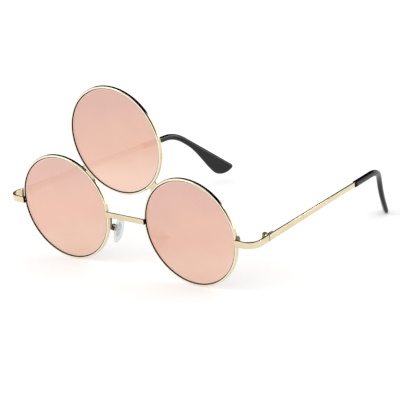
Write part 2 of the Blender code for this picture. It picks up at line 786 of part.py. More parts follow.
def build_pad_arm(side, frame, bore):
    """A wire from the back of the rim to a clevis that holds the pad's boss."""
    label = SIDE_NAMES[side]
    name = "pad_arm_" + label
    cheek = PAD_BOSS_WIDTH / 2 + FIT_GAP + CLEVIS_WALL
    wall_inside = math.hypot(PAD_BOSS_BACK, PAD_BOSS_LENGTH / 2)
    wall_outside = wall_inside + CLEVIS_WALL
    size = (wall_outside + PAD_BOSS_BACK, 2 * cheek, CLEVIS_LENGTH)
    middle = (side * (wall_outside - PAD_BOSS_BACK) / 2, 0, 0)
    arm = add_solid(name, box_mesh(name, size, middle), GOLD, frame)

    room_size = (wall_inside + PAD_BOSS_BACK + CUT_OVERRUN, PAD_BOSS_WIDTH + 2 * FIT_GAP,
                 CLEVIS_LENGTH + CUT_OVERRUN)
    room_middle = (side * (wall_inside - PAD_BOSS_BACK - CUT_OVERRUN) / 2, 0, 0)
    room = box_mesh(name + "_room", room_size, room_middle)
    cut(arm, add_cutter(name + "_room", room, frame), bore)

    turn = frame.matrix_basis
    anchor = turn @ Vector((side * (wall_inside + CLEVIS_WALL / 2), 0, 0))
    approach = turn @ Vector((side * (wall_outside + PAD_ARM_LOOP), 0, 0))
    foot_angles = (PAD_ARM_FROM, (PAD_ARM_FROM + PAD_ARM_TO) / 2, PAD_ARM_TO)
    foot = [rim_back_point(side, angle) for angle in foot_angles]
    swing = (foot[-1] + approach) / 2 + Vector((0, 0, -PAD_ARM_LOOP / 2))
    route = foot + [swing, approach, anchor]
    wire = wire_mesh(name + "_wire", route, PAD_ARM_DIAMETER, "BEZIER")
    join(arm, add_cutter(name + "_wire", wire, FRONT))


def build_pad_screw(side, frame):
    cheek = PAD_BOSS_WIDTH / 2 + FIT_GAP + CLEVIS_WALL
    build_screw("pad_screw_" + SIDE_NAMES[side], frame, PAD_SCREW_DIAMETER,
                PAD_HEAD_DIAMETER, PAD_HEAD_HEIGHT, -cheek, cheek + FIT_GAP,
                rotation=(math.radians(-90), 0, 0))


# Standing on the table

def world_points(names):
    scene_state = bpy.context.evaluated_depsgraph_get()
    points = []
    for name in names:
        shape = bpy.data.objects[name].evaluated_get(scene_state)
        points += [shape.matrix_world @ vert.co for vert in shape.data.vertices]
    return points


def lowest(points, tilt):
    return min(p.y * math.sin(tilt) + p.z * math.cos(tilt) for p in points)


def stand_on_table():
    """Tip the pair about X until its rims and its lower tip are level, and centre it."""
    bpy.context.view_layer.update()
    rims = world_points(["rim_left", "rim_right"])
    tips = world_points(["temple_tip_left", "temple_tip_right"])
    flat, steep = 0.0, math.radians(45)
    for _ in range(40):
        tilt = (flat + steep) / 2
        if lowest(tips, tilt) < lowest(rims, tilt):
            flat = tilt
        else:
            steep = tilt
    FRONT.rotation_euler = (tilt, 0, 0)
    bpy.context.view_layer.update()
    shapes = [piece.name for piece in PARTS.objects if piece.type == "MESH"]
    corners = world_points(shapes)
    middle_x = (min(p.x for p in corners) + max(p.x for p in corners)) / 2
    middle_y = (min(p.y for p in corners) + max(p.y for p in corners)) / 2
    FRONT.location = (-middle_x, -middle_y, -min(p.z for p in corners))


clear_scene()
PARTS = new_collection("round_sunglasses")
CUTTERS = new_collection("cutters")

GOLD = new_finish("gold_plated_alloy", (0.87, 0.68, 0.40), 0.18, metallic=1.0)
STEEL = new_finish("gold_plated_screw", (0.78, 0.60, 0.34), 0.30, metallic=1.0)
MIRROR_PINK = new_finish("pink_mirror_lens", (0.84, 0.55, 0.47), 0.08, metallic=0.6, alpha=0.9)
BLACK_PLASTIC = new_finish("black_acetate", (0.012, 0.012, 0.013), 0.22)
CLEAR_PLASTIC = new_finish("clear_pad_plastic", (0.93, 0.95, 0.97), 0.15, transmission=0.9)

FRONT = new_frame("front", None)
EYE_LEFT = Vector((EYE_OFFSET, 0, 0))
EYE_RIGHT = Vector((-EYE_OFFSET, 0, 0))
TOP = Vector((0, 0, TOP_RISE))

for label, centre in (("left", EYE_LEFT), ("right", EYE_RIGHT), ("top", TOP)):
    build_lens("lens_" + label, centre)
RIMS = {label: build_rim("rim_" + label, centre)
        for label, centre in (("left", EYE_LEFT), ("right", EYE_RIGHT), ("top", TOP))}
ENVELOPES = {label: rim_envelope("rim_envelope_" + label, centre)
             for label, centre in (("left", EYE_LEFT), ("right", EYE_RIGHT), ("top", TOP))}

build_bridge((ENVELOPES["left"], ENVELOPES["right"]))
build_braze(LEFT)
build_braze(RIGHT)

LOCK_BACK = STRAP_BACK + FIT_GAP + LOCK_DEPTH / 2
LOCK_INSET = LOCK_WIDTH / 2 + FIT_GAP + RIM_WIDTH / 2
for side, drop in ((LEFT, TIP_DROP_LEFT), (RIGHT, TIP_DROP_RIGHT)):
    label = SIDE_NAMES[side]
    build_endpiece(side, ENVELOPES[label])
    lock_place = (side * (EYE_OFFSET + RIM_OUTER + FIT_GAP + LOCK_WIDTH / 2), LOCK_BACK, 0)
    lock = new_frame("lock_axis_" + label, FRONT, lock_place)
    build_rim_lock(label, RIMS[label], lock, side * LOCK_INSET, LOCK_BACK)
    hinge = hinge_frame(side)
    build_hinge(side, hinge)
    core = build_temple(side, hinge, drop)
    build_tip(side, hinge, drop, core)
    pivot = pad_frame(side)
    nose_pad, screw_bore = build_pad(side, pivot)
    cut(nose_pad, screw_bore)
    build_pad_arm(side, pivot, screw_bore)
    build_pad_screw(side, pivot)

# The top rim's lock lies behind its wire, just below the left joint
TOP_LOCK_BACK = RIM_DEPTH / 2 + FIT_GAP + LOCK_DEPTH / 2
TOP_LOCK_TURN = Matrix.Rotation(JOINT_ANGLE + TOP_LOCK_STEP / RIM_OUTER, 4, "Y")
TOP_LOCK_PLACE = TOP + TOP_LOCK_TURN @ Vector((RIM_OUTER - RIM_WIDTH / 2, TOP_LOCK_BACK, 0))
TOP_LOCK = new_frame("lock_axis_top", FRONT, TOP_LOCK_PLACE, TOP_LOCK_TURN.to_euler())
build_rim_lock("top", RIMS["top"], TOP_LOCK, 0, TOP_LOCK_BACK)

stand_on_table()
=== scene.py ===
import json
from math import atan2, copysign, cos, hypot, pi, radians, sin, sqrt, tan

import bmesh
import bpy
from mathutils import Euler, Matrix, Vector

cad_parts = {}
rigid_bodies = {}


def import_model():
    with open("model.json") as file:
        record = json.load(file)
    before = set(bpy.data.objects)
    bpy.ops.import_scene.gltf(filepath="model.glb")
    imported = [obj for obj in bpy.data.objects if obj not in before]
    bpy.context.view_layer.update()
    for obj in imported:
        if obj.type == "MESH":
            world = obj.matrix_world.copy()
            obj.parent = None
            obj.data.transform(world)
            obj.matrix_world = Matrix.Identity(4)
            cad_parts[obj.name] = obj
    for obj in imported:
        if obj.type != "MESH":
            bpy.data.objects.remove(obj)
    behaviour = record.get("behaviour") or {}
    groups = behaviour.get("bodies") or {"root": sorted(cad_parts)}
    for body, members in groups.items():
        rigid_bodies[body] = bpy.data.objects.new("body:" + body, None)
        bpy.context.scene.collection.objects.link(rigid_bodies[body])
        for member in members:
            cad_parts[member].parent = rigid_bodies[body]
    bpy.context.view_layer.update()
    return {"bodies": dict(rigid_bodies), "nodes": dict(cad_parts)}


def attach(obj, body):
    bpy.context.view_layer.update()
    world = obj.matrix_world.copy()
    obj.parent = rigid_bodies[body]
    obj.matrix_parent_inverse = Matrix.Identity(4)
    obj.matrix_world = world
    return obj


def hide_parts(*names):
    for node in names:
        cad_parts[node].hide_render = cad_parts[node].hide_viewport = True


# The looks of the round sunglasses with a third lens. Every piece is modelled in the
# frame of the front, as the solids are: X runs to the wearer's left, Y back to the ears
# and Z up the front, with the eye lenses centred on z = 0. FRONT_PLACE then stands the
# pair on its table. Lengths are in metres unless a name ends in mm, deg or share.

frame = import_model()

# Sizes shared with the solids

LENS_DIAMETER = 0.0500
LENS_THICKNESS = 0.0011
LENS_RIDGE_REACH = 0.0006
LENS_RIDGE_ROOT = 0.0005
LENS_RIDGE_TIP = 0.0002
RIM_LIP = 0.0004
RIM_WIDTH = 0.0012
RIM_DEPTH = 0.0019
RIM_SLIT = 0.0003
BRIDGE_SPAN = 0.0210
JOINT_GAP = 0.0011
FIT_GAP = 0.00015
BRAZE_HALF_LENGTH = 0.0028
BRAZE_DEPTH = 0.0012
STRAP_THICKNESS = 0.0010
STRAP_HEIGHT = 0.0031
STRAP_PROUD = 0.0008
STRAP_LAP = 0.0005
BRIDGE_HEIGHT = 0.0026
BRIDGE_RISE = 0.0010
ENDPIECE_DROP = 0.0003
ENDPIECE_REACH = 0.0100
ENDPIECE_BEND = 0.0055
ENDPIECE_RETURN = 0.0126
LOCK_WIDTH = 0.0012
LOCK_DEPTH = 0.0012
LOCK_HEIGHT = 0.0048
LOCK_SCREW_DIAMETER = 0.0005
LOCK_HEAD_DIAMETER = 0.0010
LOCK_HEAD_HEIGHT = 0.0003
TOP_LOCK_STEP = 0.0042
KNUCKLE_DIAMETER = 0.0024
HINGE_HEIGHT = 0.0036
HINGE_SCREW_DIAMETER = 0.0010
HINGE_HEAD_DIAMETER = 0.0019
HINGE_HEAD_HEIGHT = 0.0003
SEAM_GAP = 0.0003
TEMPLE_LENGTH = 0.1002
TEMPLE_END_HEIGHT = 0.0024
TIP_OVERLAP = 0.0230
STRAP_INSERT = 0.0030
TIP_HEIGHT = 0.0030
TIP_WIDTH = 0.0027
TIP_BEND = 0.0160
TIP_DROP_LENGTH = 0.0385
PADDLE_HEIGHT = 0.0090
FLARE_START = 0.0085
FLARE_LENGTH = 0.0285
PADDLE_UPPER_ROUND = 0.0015
PADDLE_LOWER_ROUND = 0.0070
PADDLE_SIDE_ROUND = 0.0030
MOUTH_SCOOP_RADIUS = 0.0024
MOUTH_SCOOP_DEPTH = 0.0008
PAD_LENGTH = 0.0138
PAD_WIDTH = 0.0082
PAD_THICKNESS = 0.0022
PAD_BOSS_WIDTH = 0.0013
PAD_BOSS_LENGTH = 0.0018
PAD_STANDOFF = 0.0022
PAD_OFFSET = 0.0142
PAD_SETBACK = 0.0065
PAD_BELOW = 0.0094
PAD_ARM_DIAMETER = 0.0009
PAD_ARM_LOOP = 0.0024
CLEVIS_WALL = 0.0004
CLEVIS_LENGTH = 0.0022
PAD_SCREW_DIAMETER = 0.0007
PAD_HEAD_DIAMETER = 0.0012
PAD_HEAD_HEIGHT = 0.0003
SLOT_WIDTH = 0.00025
SLOT_DEPTH = 0.0002
TEMPLE_INWARD_DEG = 5.25
TEMPLE_DECLINE_DEG = 5.0
TIP_DROP_DEG = {"left": 45.0, "right": 37.0}
TIP_INWARD_DEG = {"left": 24.8, "right": 23.3}
PADDLE_TWIST_DEG = 20.0
PAD_SPLAY_DEG = 5.0
PAD_FRONTAL_DEG = 15.0
PAD_ARM_FROM_DEG = 5.0
PAD_ARM_TO_DEG = 14.0
PAD_REAR_FLATNESS_SHARE = 0.55
PAD_EGG_SHARE = 0.04
TIP_OVAL_SHARE = 0.80

# Finer forms than the solids have: the hollows of the brazing, the rounded socket and the
# fading scoop at a tip's mouth, and the stiff insert in a pad, as shares of the pad
BRAZE_LAP = 0.00008
BRAZE_HOLLOW_SHARE = 0.14
BRAZE_THIN_SHARE = 0.26
BRAZE_TAPER_SHARE = 0.75
SOCKET_OVAL_SHARE = 0.20
MOUTH_FADE = 3 * MOUTH_SCOOP_DEPTH
INSERT_THICKNESS_SHARE = 0.35
INSERT_WIDTH_SHARE = 0.50
INSERT_LENGTH_SHARE = 0.55

# How the pair stands on its table
LEAN_DEG = 6.819388506500845
STAND = Vector((0.0, -0.06527477502822876, 0.025682782754302025))

# Edges that were tumbled or polished, and the finer steps of the looks. The corners of
# rims and straps are a little rounder than the solids', as the polishing left them
RIM_CORNER = 0.00080
STRAP_EDGE = 0.00028
# The next is the width of the band of painted shade on a rim's front by the lip
SHADED_LIP = 0.00015
LIP_EDGE = 0.00008
LENS_EDGE = 0.00008
FINE_EDGE = 0.00006
LEAF_EDGE = 0.00010
MOUTH_LIP = 0.00007
END_HAIR = 0.00000375
RING_STEPS = 256
LENS_STEPS = 192
CORNER_STEPS = 12
LIP_STEPS = 3
STRAP_EDGE_STEPS = 6
BRAZE_ALONG_STEPS = 16
BRAZE_ACROSS_STEPS = 8
SCREW_SIDES = 32
WIRE_SIDES = 20
WIRE_STEPS = 16
PAD_SIDES = 48
PAD_ROWS = 32
MOUTH_STEPS = 4
BEND_STEPS = 24
TIP_SIDES = 48
FLARE_STEPS = 20
ROUND_STEPS = 12
SMOOTH_DEG = 40.0
FLAT_DEG = 2.0
SEW_REACH = 1e-6
LENS_PALE_LINE = 0.0004
COATED_FACING = 0.50
# Facing limits for the painted highlight on rim fronts and the painted shade on ends and
# top edges
HIGHLIGHT_FACING = 0.90
END_FACING = 0.90
BRAZE_END_FACING = 0.70
TOP_FACING = 0.70
# Shares of painted shade on a strap's top edge, the closing blocks, the hinge leaves and
# the pad arms
TOP_SHADE_SHARE = 0.50
BLOCK_SHADE_SHARE = 0.55
LEAF_SHADE_SHARE = 0.15
ARM_SHADE_SHARE = 0.75

# The studio. A card or lamp is a name, its place, where it aims, its width and height,
# and a card's glow or a lamp's watts
TABLE_WIDTH = 6.0
TABLE_GLOW = 0.34
ROOM_LIGHT = 0.80
SENSOR_MM = 36
GLASSES = (0, 0, 0.03)
CARDS = (
    ("dark_ceiling", (-0.5, 0.85, 1.1), (-0.5, 0.86, 0), 3.0, 3.5, 0.0),
    ("dark_card_behind", (-1.0, 1.15, 0.40), GLASSES, 1.7, 0.9, 0.0),
    ("dark_card_at_camera", (0.80, -1.02, 0.64), GLASSES, 1.72, 1.3, 0.0),
    ("dark_card_on_table", (0.51, -0.68, 0.003), (0.51, -0.67, 1.0), 1.0, 1.0, 0.0),
    ("bright_card_back", (1.058, 0.939, 0.38), GLASSES, 0.26, 0.62, 2.5),
    ("bright_card_right", (1.27, 0.60, 0.17), GLASSES, 0.6, 0.26, 4.0),
    ("bright_card_high", (0.743, 0.952, 0.75), GLASSES, 0.30, 0.26, 8.0),
)
KEY_LAMP = ("key", (-1.92, -1.98, 1.73), GLASSES, 2.0, 1.6, 14.8)

# What the finishes read off a piece
# Painted shade and painted highlight, then the coated side and the place on a lens
PAINTED_SHADE = "painted_shade"
PAINTED_HIGHLIGHT = "buffed"
COATED = "coated"
LENS_MAP = "lens_place"

# Worked out from the sizes above
LENS_RADIUS = LENS_DIAMETER / 2
RIM_INNER = LENS_RADIUS - RIM_LIP
RIM_OUTER = RIM_INNER + RIM_WIDTH
RING_RADIUS = (RIM_INNER + RIM_OUTER) / 2
EYE_OFFSET = BRIDGE_SPAN / 2 + RIM_OUTER
RIM_SPACING = 2 * RIM_OUTER + JOINT_GAP
TOP_RISE = sqrt(RIM_SPACING ** 2 - EYE_OFFSET ** 2)
JOINT_ANGLE = atan2(TOP_RISE, EYE_OFFSET)
STRAP_FRONT = -(RIM_DEPTH / 2 + STRAP_PROUD)
STRAP_MIDDLE = STRAP_FRONT + STRAP_THICKNESS / 2
STRAP_BACK = STRAP_FRONT + STRAP_THICKNESS
PIVOT_INSET = STRAP_THICKNESS / 2 + FIT_GAP + KNUCKLE_DIAMETER / 2
SLEEVE_START = TEMPLE_LENGTH - TIP_OVERLAP
PAD_BOSS_BACK = PAD_SCREW_DIAMETER / 2 + FIT_GAP + CLEVIS_WALL
SIDES = {"left": 1, "right": -1}
FRONT_PLACE = Matrix.Translation(STAND) @ Matrix.Rotation(radians(LEAN_DEG), 4, "X")
FACE_FRONT = Matrix.Rotation(radians(90), 4, "X")
ORIGIN = Matrix.Identity(4)


# Node helpers

def fill(tree, node, inputs):
    """Sets a node's inputs. A hex colour is linearised, and a node or socket is linked."""
    for name, value in inputs.items():
        if isinstance(value, str):
            value = hex_colour(value)
        if isinstance(value, bpy.types.Node):
            value = value.outputs[0]
        if isinstance(value, bpy.types.NodeSocket):
            tree.links.new(value, node.inputs[name])
        else:
            node.inputs[name].default_value = value


def add_node(tree, kind, inputs=None, **settings):
    """Adds one node, sets it up, and fills or links its inputs."""
    node = tree.nodes.new(kind)
    for name, value in settings.items():
        setattr(node, name, value)
    fill(tree, node, inputs or {})
    return node


def hex_colour(text):
    """An sRGB hex colour as the linear colour that shaders take."""
    shares = [int(text[i:i + 2], 16) / 255 for i in (1, 3, 5)]
    linear = [s / 12.92 if s <= 0.04045 else ((s + 0.055) / 1.055) ** 2.4 for s in shares]
    return (*linear, 1.0)


def per_metre(size_mm):
    """The scale at which a pattern on metre coordinates has features of this size."""
    return 1000 / size_mm


# Geometry Nodes trees

def new_shape_tree(name, sizes, counts):
    """An empty tree with named inputs. Returns it and the sockets that bring them in."""
    tree = bpy.data.node_groups.new(name, "GeometryNodeTree")
    face = tree.interface
    face.new_socket("Outline", in_out="INPUT", socket_type="NodeSocketGeometry")
    for label in sizes:
        face.new_socket(label, in_out="INPUT", socket_type="NodeSocketFloat")
    for label in counts:
        face.new_socket(label, in_out="INPUT", socket_type="NodeSocketInt")
    face.new_socket("Finish", in_out="INPUT", socket_type="NodeSocketMaterial")
    face.new_socket("Piece", in_out="OUTPUT", socket_type="NodeSocketGeometry")
    return tree, add_node(tree, "NodeGroupInput").outputs


def close_tree(tree, shape, finish):
    """Realizes what the tree made and gives it its finish."""
    real = add_node(tree, "GeometryNodeRealizeInstances", {"Geometry": shape})
    coated = add_node(
        tree, "GeometryNodeSetMaterial", {"Geometry": real, "Material": finish})
    add_node(tree, "NodeGroupOutput", {"Piece": coated})
    return tree


def wire_ring_tree():
    """Sweeps a wire's section round a ring that is left open by a slit."""
    tree, given = new_shape_tree(
        "wire_ring", ("Ring radius", "Slit angle", "Slit width"), ("Steps",))
    section = add_node(tree, "GeometryNodeMeshToCurve", {"Mesh": given["Outline"]})
    gap = add_node(
        tree, "ShaderNodeMath", {0: given["Slit width"], 1: given["Ring radius"]},
        operation="DIVIDE")
    start = add_node(
        tree, "ShaderNodeMath", {0: gap, 1: 0.5, 2: given["Slit angle"]},
        operation="MULTIPLY_ADD")
    turn = add_node(tree, "ShaderNodeMath", {0: 2 * pi, 1: gap}, operation="SUBTRACT")
    ring = add_node(
        tree, "GeometryNodeCurveArc",
        {"Resolution": given["Steps"], "Radius": given["Ring radius"], "Start Angle": start,
         "Sweep Angle": turn})
    upright = add_node(tree, "GeometryNodeSetCurveNormal", {"Curve": ring}, mode="Z_UP")
    wire = add_node(
        tree, "GeometryNodeCurveToMesh",
        {"Curve": upright, "Profile Curve": section, "Fill Caps": True})
    return close_tree(tree, wire, given["Finish"])


def flat_strap_tree():
    """Sweeps a flat strap on edge along a path, and narrows it between two places on Y."""
    tree, given = new_shape_tree(
        "flat_strap",
        ("Thickness", "Height", "Edge radius", "Taper from", "Taper to", "End height"),
        ("Edge steps",))
    path = add_node(tree, "GeometryNodeMeshToCurve", {"Mesh": given["Outline"]})
    upright = add_node(tree, "GeometryNodeSetCurveNormal", {"Curve": path}, mode="Z_UP")
    flat = add_node(
        tree, "GeometryNodeCurvePrimitiveQuadrilateral",
        {"Width": given["Thickness"], "Height": given["Height"]})
    eased = add_node(
        tree, "GeometryNodeFilletCurve",
        {"Curve": flat, "Count": given["Edge steps"], "Radius": given["Edge radius"]},
        mode="POLY")
    strap = add_node(
        tree, "GeometryNodeCurveToMesh",
        {"Curve": upright, "Profile Curve": eased, "Fill Caps": True})
    spot = add_node(tree, "GeometryNodeInputPosition")
    axes = add_node(tree, "ShaderNodeSeparateXYZ", {"Vector": spot})
    end_share = add_node(
        tree, "ShaderNodeMath", {0: given["End height"], 1: given["Height"]},
        operation="DIVIDE")
    share = add_node(
        tree, "ShaderNodeMapRange",
        {"Value": axes.outputs["Y"], "From Min": given["Taper from"],
         "From Max": given["Taper to"], "To Min": 1.0, "To Max": end_share})
    height = add_node(
        tree, "ShaderNodeMath", {0: axes.outputs["Z"], 1: share}, operation="MULTIPLY")
    narrowed = add_node(
        tree, "ShaderNodeCombineXYZ",
        {"X": axes.outputs["X"], "Y": axes.outputs["Y"], "Z": height})
    shaped = add_node(
        tree, "GeometryNodeSetPosition", {"Geometry": strap, "Position": narrowed})
    return close_tree(tree, shaped, given["Finish"])


def bent_wire_tree():
    """Bends a round wire smoothly through the points of a path."""
    tree, given = new_shape_tree("bent_wire", ("Diameter",), ("Sides", "Steps"))
    path = add_node(tree, "GeometryNodeMeshToCurve", {"Mesh": given["Outline"]})
    smooth = add_node(
        tree, "GeometryNodeCurveSplineType", {"Curve": path}, spline_type="BEZIER")
    handles = add_node(
        tree, "GeometryNodeCurveSetHandles", {"Curve": smooth}, handle_type="AUTO")
    stepped = add_node(
        tree, "GeometryNodeSetSplineResolution",
        {"Geometry": handles, "Resolution": given["Steps"]})
    half = add_node(
        tree, "ShaderNodeMath", {0: given["Diameter"], 1: 0.5}, operation="MULTIPLY")
    section = add_node(
        tree, "GeometryNodeCurvePrimitiveCircle",
        {"Resolution": given["Sides"], "Radius": half})
    wire = add_node(
        tree, "GeometryNodeCurveToMesh",
        {"Curve": stepped, "Profile Curve": section, "Fill Caps": True})
    return close_tree(tree, wire, given["Finish"])


def slotted_screw_tree():
    """Joins a shank and a head, each centred on Z at its own height, and slots the head."""
    tree, given = new_shape_tree(
        "slotted_screw",
        ("Shank radius", "Shank length", "Shank middle", "Head radius", "Head height",
         "Head middle", "Head top", "Slot length", "Slot width", "Slot height"), ("Sides",))
    slot_size = add_node(
        tree, "ShaderNodeCombineXYZ",
        {"X": given["Slot length"], "Y": given["Slot width"], "Z": given["Slot height"]})
    solids = []
    for radius, depth in (("Shank radius", "Shank length"), ("Head radius", "Head height")):
        solids.append(add_node(
            tree, "GeometryNodeMeshCylinder",
            {"Vertices": given["Sides"], "Radius": given[radius], "Depth": given[depth]}))
    solids.append(add_node(tree, "GeometryNodeMeshCube", {"Size": slot_size}))
    placed = []
    for solid, height in zip(solids, ("Shank middle", "Head middle", "Head top")):
        place = add_node(tree, "ShaderNodeCombineXYZ", {"Z": given[height]})
        moved = add_node(
            tree, "GeometryNodeTransform", {"Geometry": solid, "Translation": place})
        placed.append(moved.outputs[0])
    shank, head, slot = placed
    whole = add_node(
        tree, "GeometryNodeMeshBoolean", {"Mesh 2": shank}, operation="UNION",
        solver="EXACT")
    tree.links.new(head, whole.inputs["Mesh 2"])
    slotted = add_node(
        tree, "GeometryNodeMeshBoolean", {"Mesh 1": whole, "Mesh 2": slot},
        operation="DIFFERENCE", solver="EXACT")
    return close_tree(tree, slotted, given["Finish"])


def show(name, data):
    """Puts a mesh, light or camera in the scene as an object of its own."""
    thing = bpy.data.objects.new(name, data)
    bpy.context.scene.collection.objects.link(thing)
    return thing


def worked_mesh(carrier):
    """The plain mesh that an object's modifiers make. The object itself goes."""
    state = bpy.context.evaluated_depsgraph_get()
    mesh = bpy.data.meshes.new_from_object(carrier.evaluated_get(state))
    carrier.modifiers.clear()
    bpy.data.objects.remove(carrier)
    return mesh


def grow(tree, outline, values):
    """Runs a tree over an outline and returns the plain mesh that it makes."""
    carrier = show(tree.name, outline)
    step = carrier.modifiers.new(tree.name, "NODES")
    step.node_group = tree
    for item in tree.interface.items_tree:
        if item.in_out == "INPUT" and item.name in values:
            step[item.identifier] = values[item.name]
    return worked_mesh(carrier)


# Mesh helpers

def line_mesh(name, points, closed=False):
    """The points joined by edges, as the outline or path that a tree works on."""
    edges = [(i, i + 1) for i in range(len(points) - 1)]
    if closed:
        edges.append((len(points) - 1, 0))
    mesh = bpy.data.meshes.new(name)
    mesh.from_pydata([tuple(point) for point in points], edges, [])
    return mesh


def closed_mesh(bm, name):
    bmesh.ops.recalc_face_normals(bm, faces=bm.faces)
    mesh = bpy.data.meshes.new(name)
    bm.to_mesh(mesh)
    bm.free()
    return mesh


def box_mesh(name, size, centre):
    bm = bmesh.new()
    bmesh.ops.create_cube(bm, size=1)
    bmesh.ops.scale(bm, vec=size, verts=bm.verts)
    bmesh.ops.translate(bm, vec=centre, verts=bm.verts)
    return closed_mesh(bm, name)


def turned_mesh(name, outline, steps):
    """Turns an outline of radius and height about Z."""
    bm = bmesh.new()
    points = [bm.verts.new((radius, 0, height)) for radius, height in outline]
    lines = [bm.edges.new(pair) for pair in zip(points, points[1:])]
    bmesh.ops.spin(
        bm, geom=points + lines, axis=(0, 0, 1), cent=(0, 0, 0), angle=2 * pi,
        steps=steps, use_merge=True)
    bmesh.ops.remove_doubles(bm, verts=bm.verts, dist=SEW_REACH)
    return closed_mesh(bm, name)


def join_loops(bm, first, second):
    """Faces between two loops of as many points."""
    for i in range(len(first)):
        j = (i + 1) % len(first)
        bm.faces.new((first[i], first[j], second[j], second[i]))


def loft_mesh(name, rings):
    """A closed skin over rings of equal point counts."""
    bm = bmesh.new()
    loops = [[bm.verts.new(point) for point in ring] for ring in rings]
    for first, second in zip(loops, loops[1:]):
        join_loops(bm, first, second)
    bm.faces.new(loops[0])
    bm.faces.new(loops[-1])
    return closed_mesh(bm, name)


def eased(mesh, width, segments=2):
    """The mesh with its sharp edges rounded over."""
    carrier = show(mesh.name, mesh)
    step = carrier.modifiers.new("edges", "BEVEL")
    step.width = width
    step.segments = segments
    step.limit_method = "ANGLE"
    step.angle_limit = radians(SMOOTH_DEG)
    return worked_mesh(carrier)


def merged_copy(node):
    """The solid's mesh with its loose triangles sewn together into clean faces."""
    bm = bmesh.new()
    bm.from_mesh(frame["nodes"][node].data)
    bmesh.ops.remove_doubles(bm, verts=bm.verts, dist=SEW_REACH)
    bmesh.ops.dissolve_limit(
        bm, angle_limit=radians(FLAT_DEG), verts=bm.verts, edges=bm.edges)
    mesh = bpy.data.meshes.new(node + "_copy")
    bm.to_mesh(mesh)
    bm.free()
    return mesh


def add_piece(name, mesh, finish, node, body="front", place=FRONT_PLACE):
    """Puts a mesh in its place, smooths it, and hands it to the body that carries it."""
    mesh.transform(place)
    mesh.materials.clear()
    mesh.materials.append(finish)
    mesh.shade_smooth()
    mesh.set_sharp_from_angle(angle=radians(SMOOTH_DEG))
    piece = show(name, mesh)
    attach(piece, body)
    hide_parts(node)


def mark(mesh, name, share_of):
    """Writes on each face how much painted shade or painted highlight it carries, or how
    coated it is, from 0 to 1.
    """
    shares = mesh.attributes.new(name, "FLOAT", "CORNER")
    for face in mesh.polygons:
        share = float(share_of(face))
        for index in face.loop_indices:
            shares.data[index].value = share


def arc_points(centre, radius, start_deg, end_deg, steps):
    turn_deg = end_deg - start_deg
    angles = [radians(start_deg + turn_deg * i / steps) for i in range(steps + 1)]
    return [(centre[0] + radius * cos(a), centre[1] + radius * sin(a)) for a in angles]


def bend_points(before, corner, after, radius):
    """The arc that rounds a corner between two straight runs."""
    arriving = (corner - before).normalized()
    leaving = (after - corner).normalized()
    turn = arriving.angle(leaving)
    start = corner - arriving * radius * tan(turn / 2)
    inward = (leaving - arriving * arriving.dot(leaving)).normalized()
    centre = start + inward * radius
    angles = [turn * i / BEND_STEPS for i in range(BEND_STEPS + 1)]
    return [centre - inward * radius * cos(a) + arriving * radius * sin(a) for a in angles]


# Finishes

def new_finish(name):
    """A material with its tree, its shader and the coordinates that patterns lie on."""
    finish = bpy.data.materials.new(name)
    finish.use_nodes = True
    tree = finish.node_tree
    spot = add_node(tree, "ShaderNodeTexCoord").outputs["Object"]
    return finish, tree, tree.nodes["Principled BSDF"], spot


def drift(tree, spot, size_mm, detail, *ranges):
    """Noise with features of this size, then what it makes of each pair of ends.

    The ends are two colours or two numbers.
    """
    noise = add_node(
        tree, "ShaderNodeTexNoise",
        {"Vector": spot, "Scale": per_metre(size_mm), "Detail": detail})
    made = [noise.outputs["Fac"]]
    for first, second in ranges:
        if isinstance(first, str):
            tone = add_node(
                tree, "ShaderNodeMix", {0: noise, 6: first, 7: second}, data_type="RGBA")
            made.append(tone.outputs[2])
        else:
            level = add_node(
                tree, "ShaderNodeMapRange",
                {"Value": noise, "To Min": first, "To Max": second})
            made.append(level.outputs[0])
    return made


def polished_gold_plating():
    """Thin pale gold plating over polished nickel silver.

    The wire was drawn, brazed, tumbled and plated, so it mirrors its surroundings. The
    plating's tone drifts over some millimetres, and tumbling leaves a faint haze and
    hair marks. The rims' fronts carry a painted highlight, a paler tone. The groove of a
    rim, the sawn ends of straps, the ends of the brazing and, at half strength, the top
    edge of a strap carry painted shade, a dark brown and rougher tone; the locks, hinge
    leaves and pad arms carry a share of it. Attributes say how much painted highlight
    and painted shade a face carries.
    """
    finish, tree, shader, spot = new_finish("polished_gold_plating")
    _, tone = drift(tree, spot, 6, 2.0, ("#E8DFC2", "#D8C598"))
    # Painted highlight: faces marked with it are mixed towards a paler tone
    buffed = add_node(tree, "ShaderNodeAttribute", attribute_name=PAINTED_HIGHLIGHT).outputs["Fac"]
    highlighted = add_node(
        tree, "ShaderNodeMix", {0: buffed, 6: tone, 7: "#FBF1DC"}, data_type="RGBA")
    # Painted shade: faces marked with it are mixed towards dark brown and made rougher
    painted_shade = add_node(tree, "ShaderNodeAttribute", attribute_name=PAINTED_SHADE).outputs["Fac"]
    shaded = add_node(
        tree, "ShaderNodeMix",
        {0: painted_shade, 6: highlighted.outputs[2], 7: "#1C150C"}, data_type="RGBA")
    _, polish = drift(tree, spot, 0.9, 4.0, (0.05, 0.15))
    rough = add_node(
        tree, "ShaderNodeMath", {0: painted_shade, 1: 0.4, 2: polish}, operation="MULTIPLY_ADD")
    # Hair marks are a few hundredths wide; at 0.3 mm they still show in the render
    [marks] = drift(tree, spot, 0.3, 3.0)
    bump = add_node(
        tree, "ShaderNodeBump", {"Height": marks, "Strength": 0.12, "Distance": 0.00002})
    fill(tree, shader, {"Base Color": shaded.outputs[2], "Metallic": 1.0,
                        "Roughness": rough, "Normal": bump})
    return finish


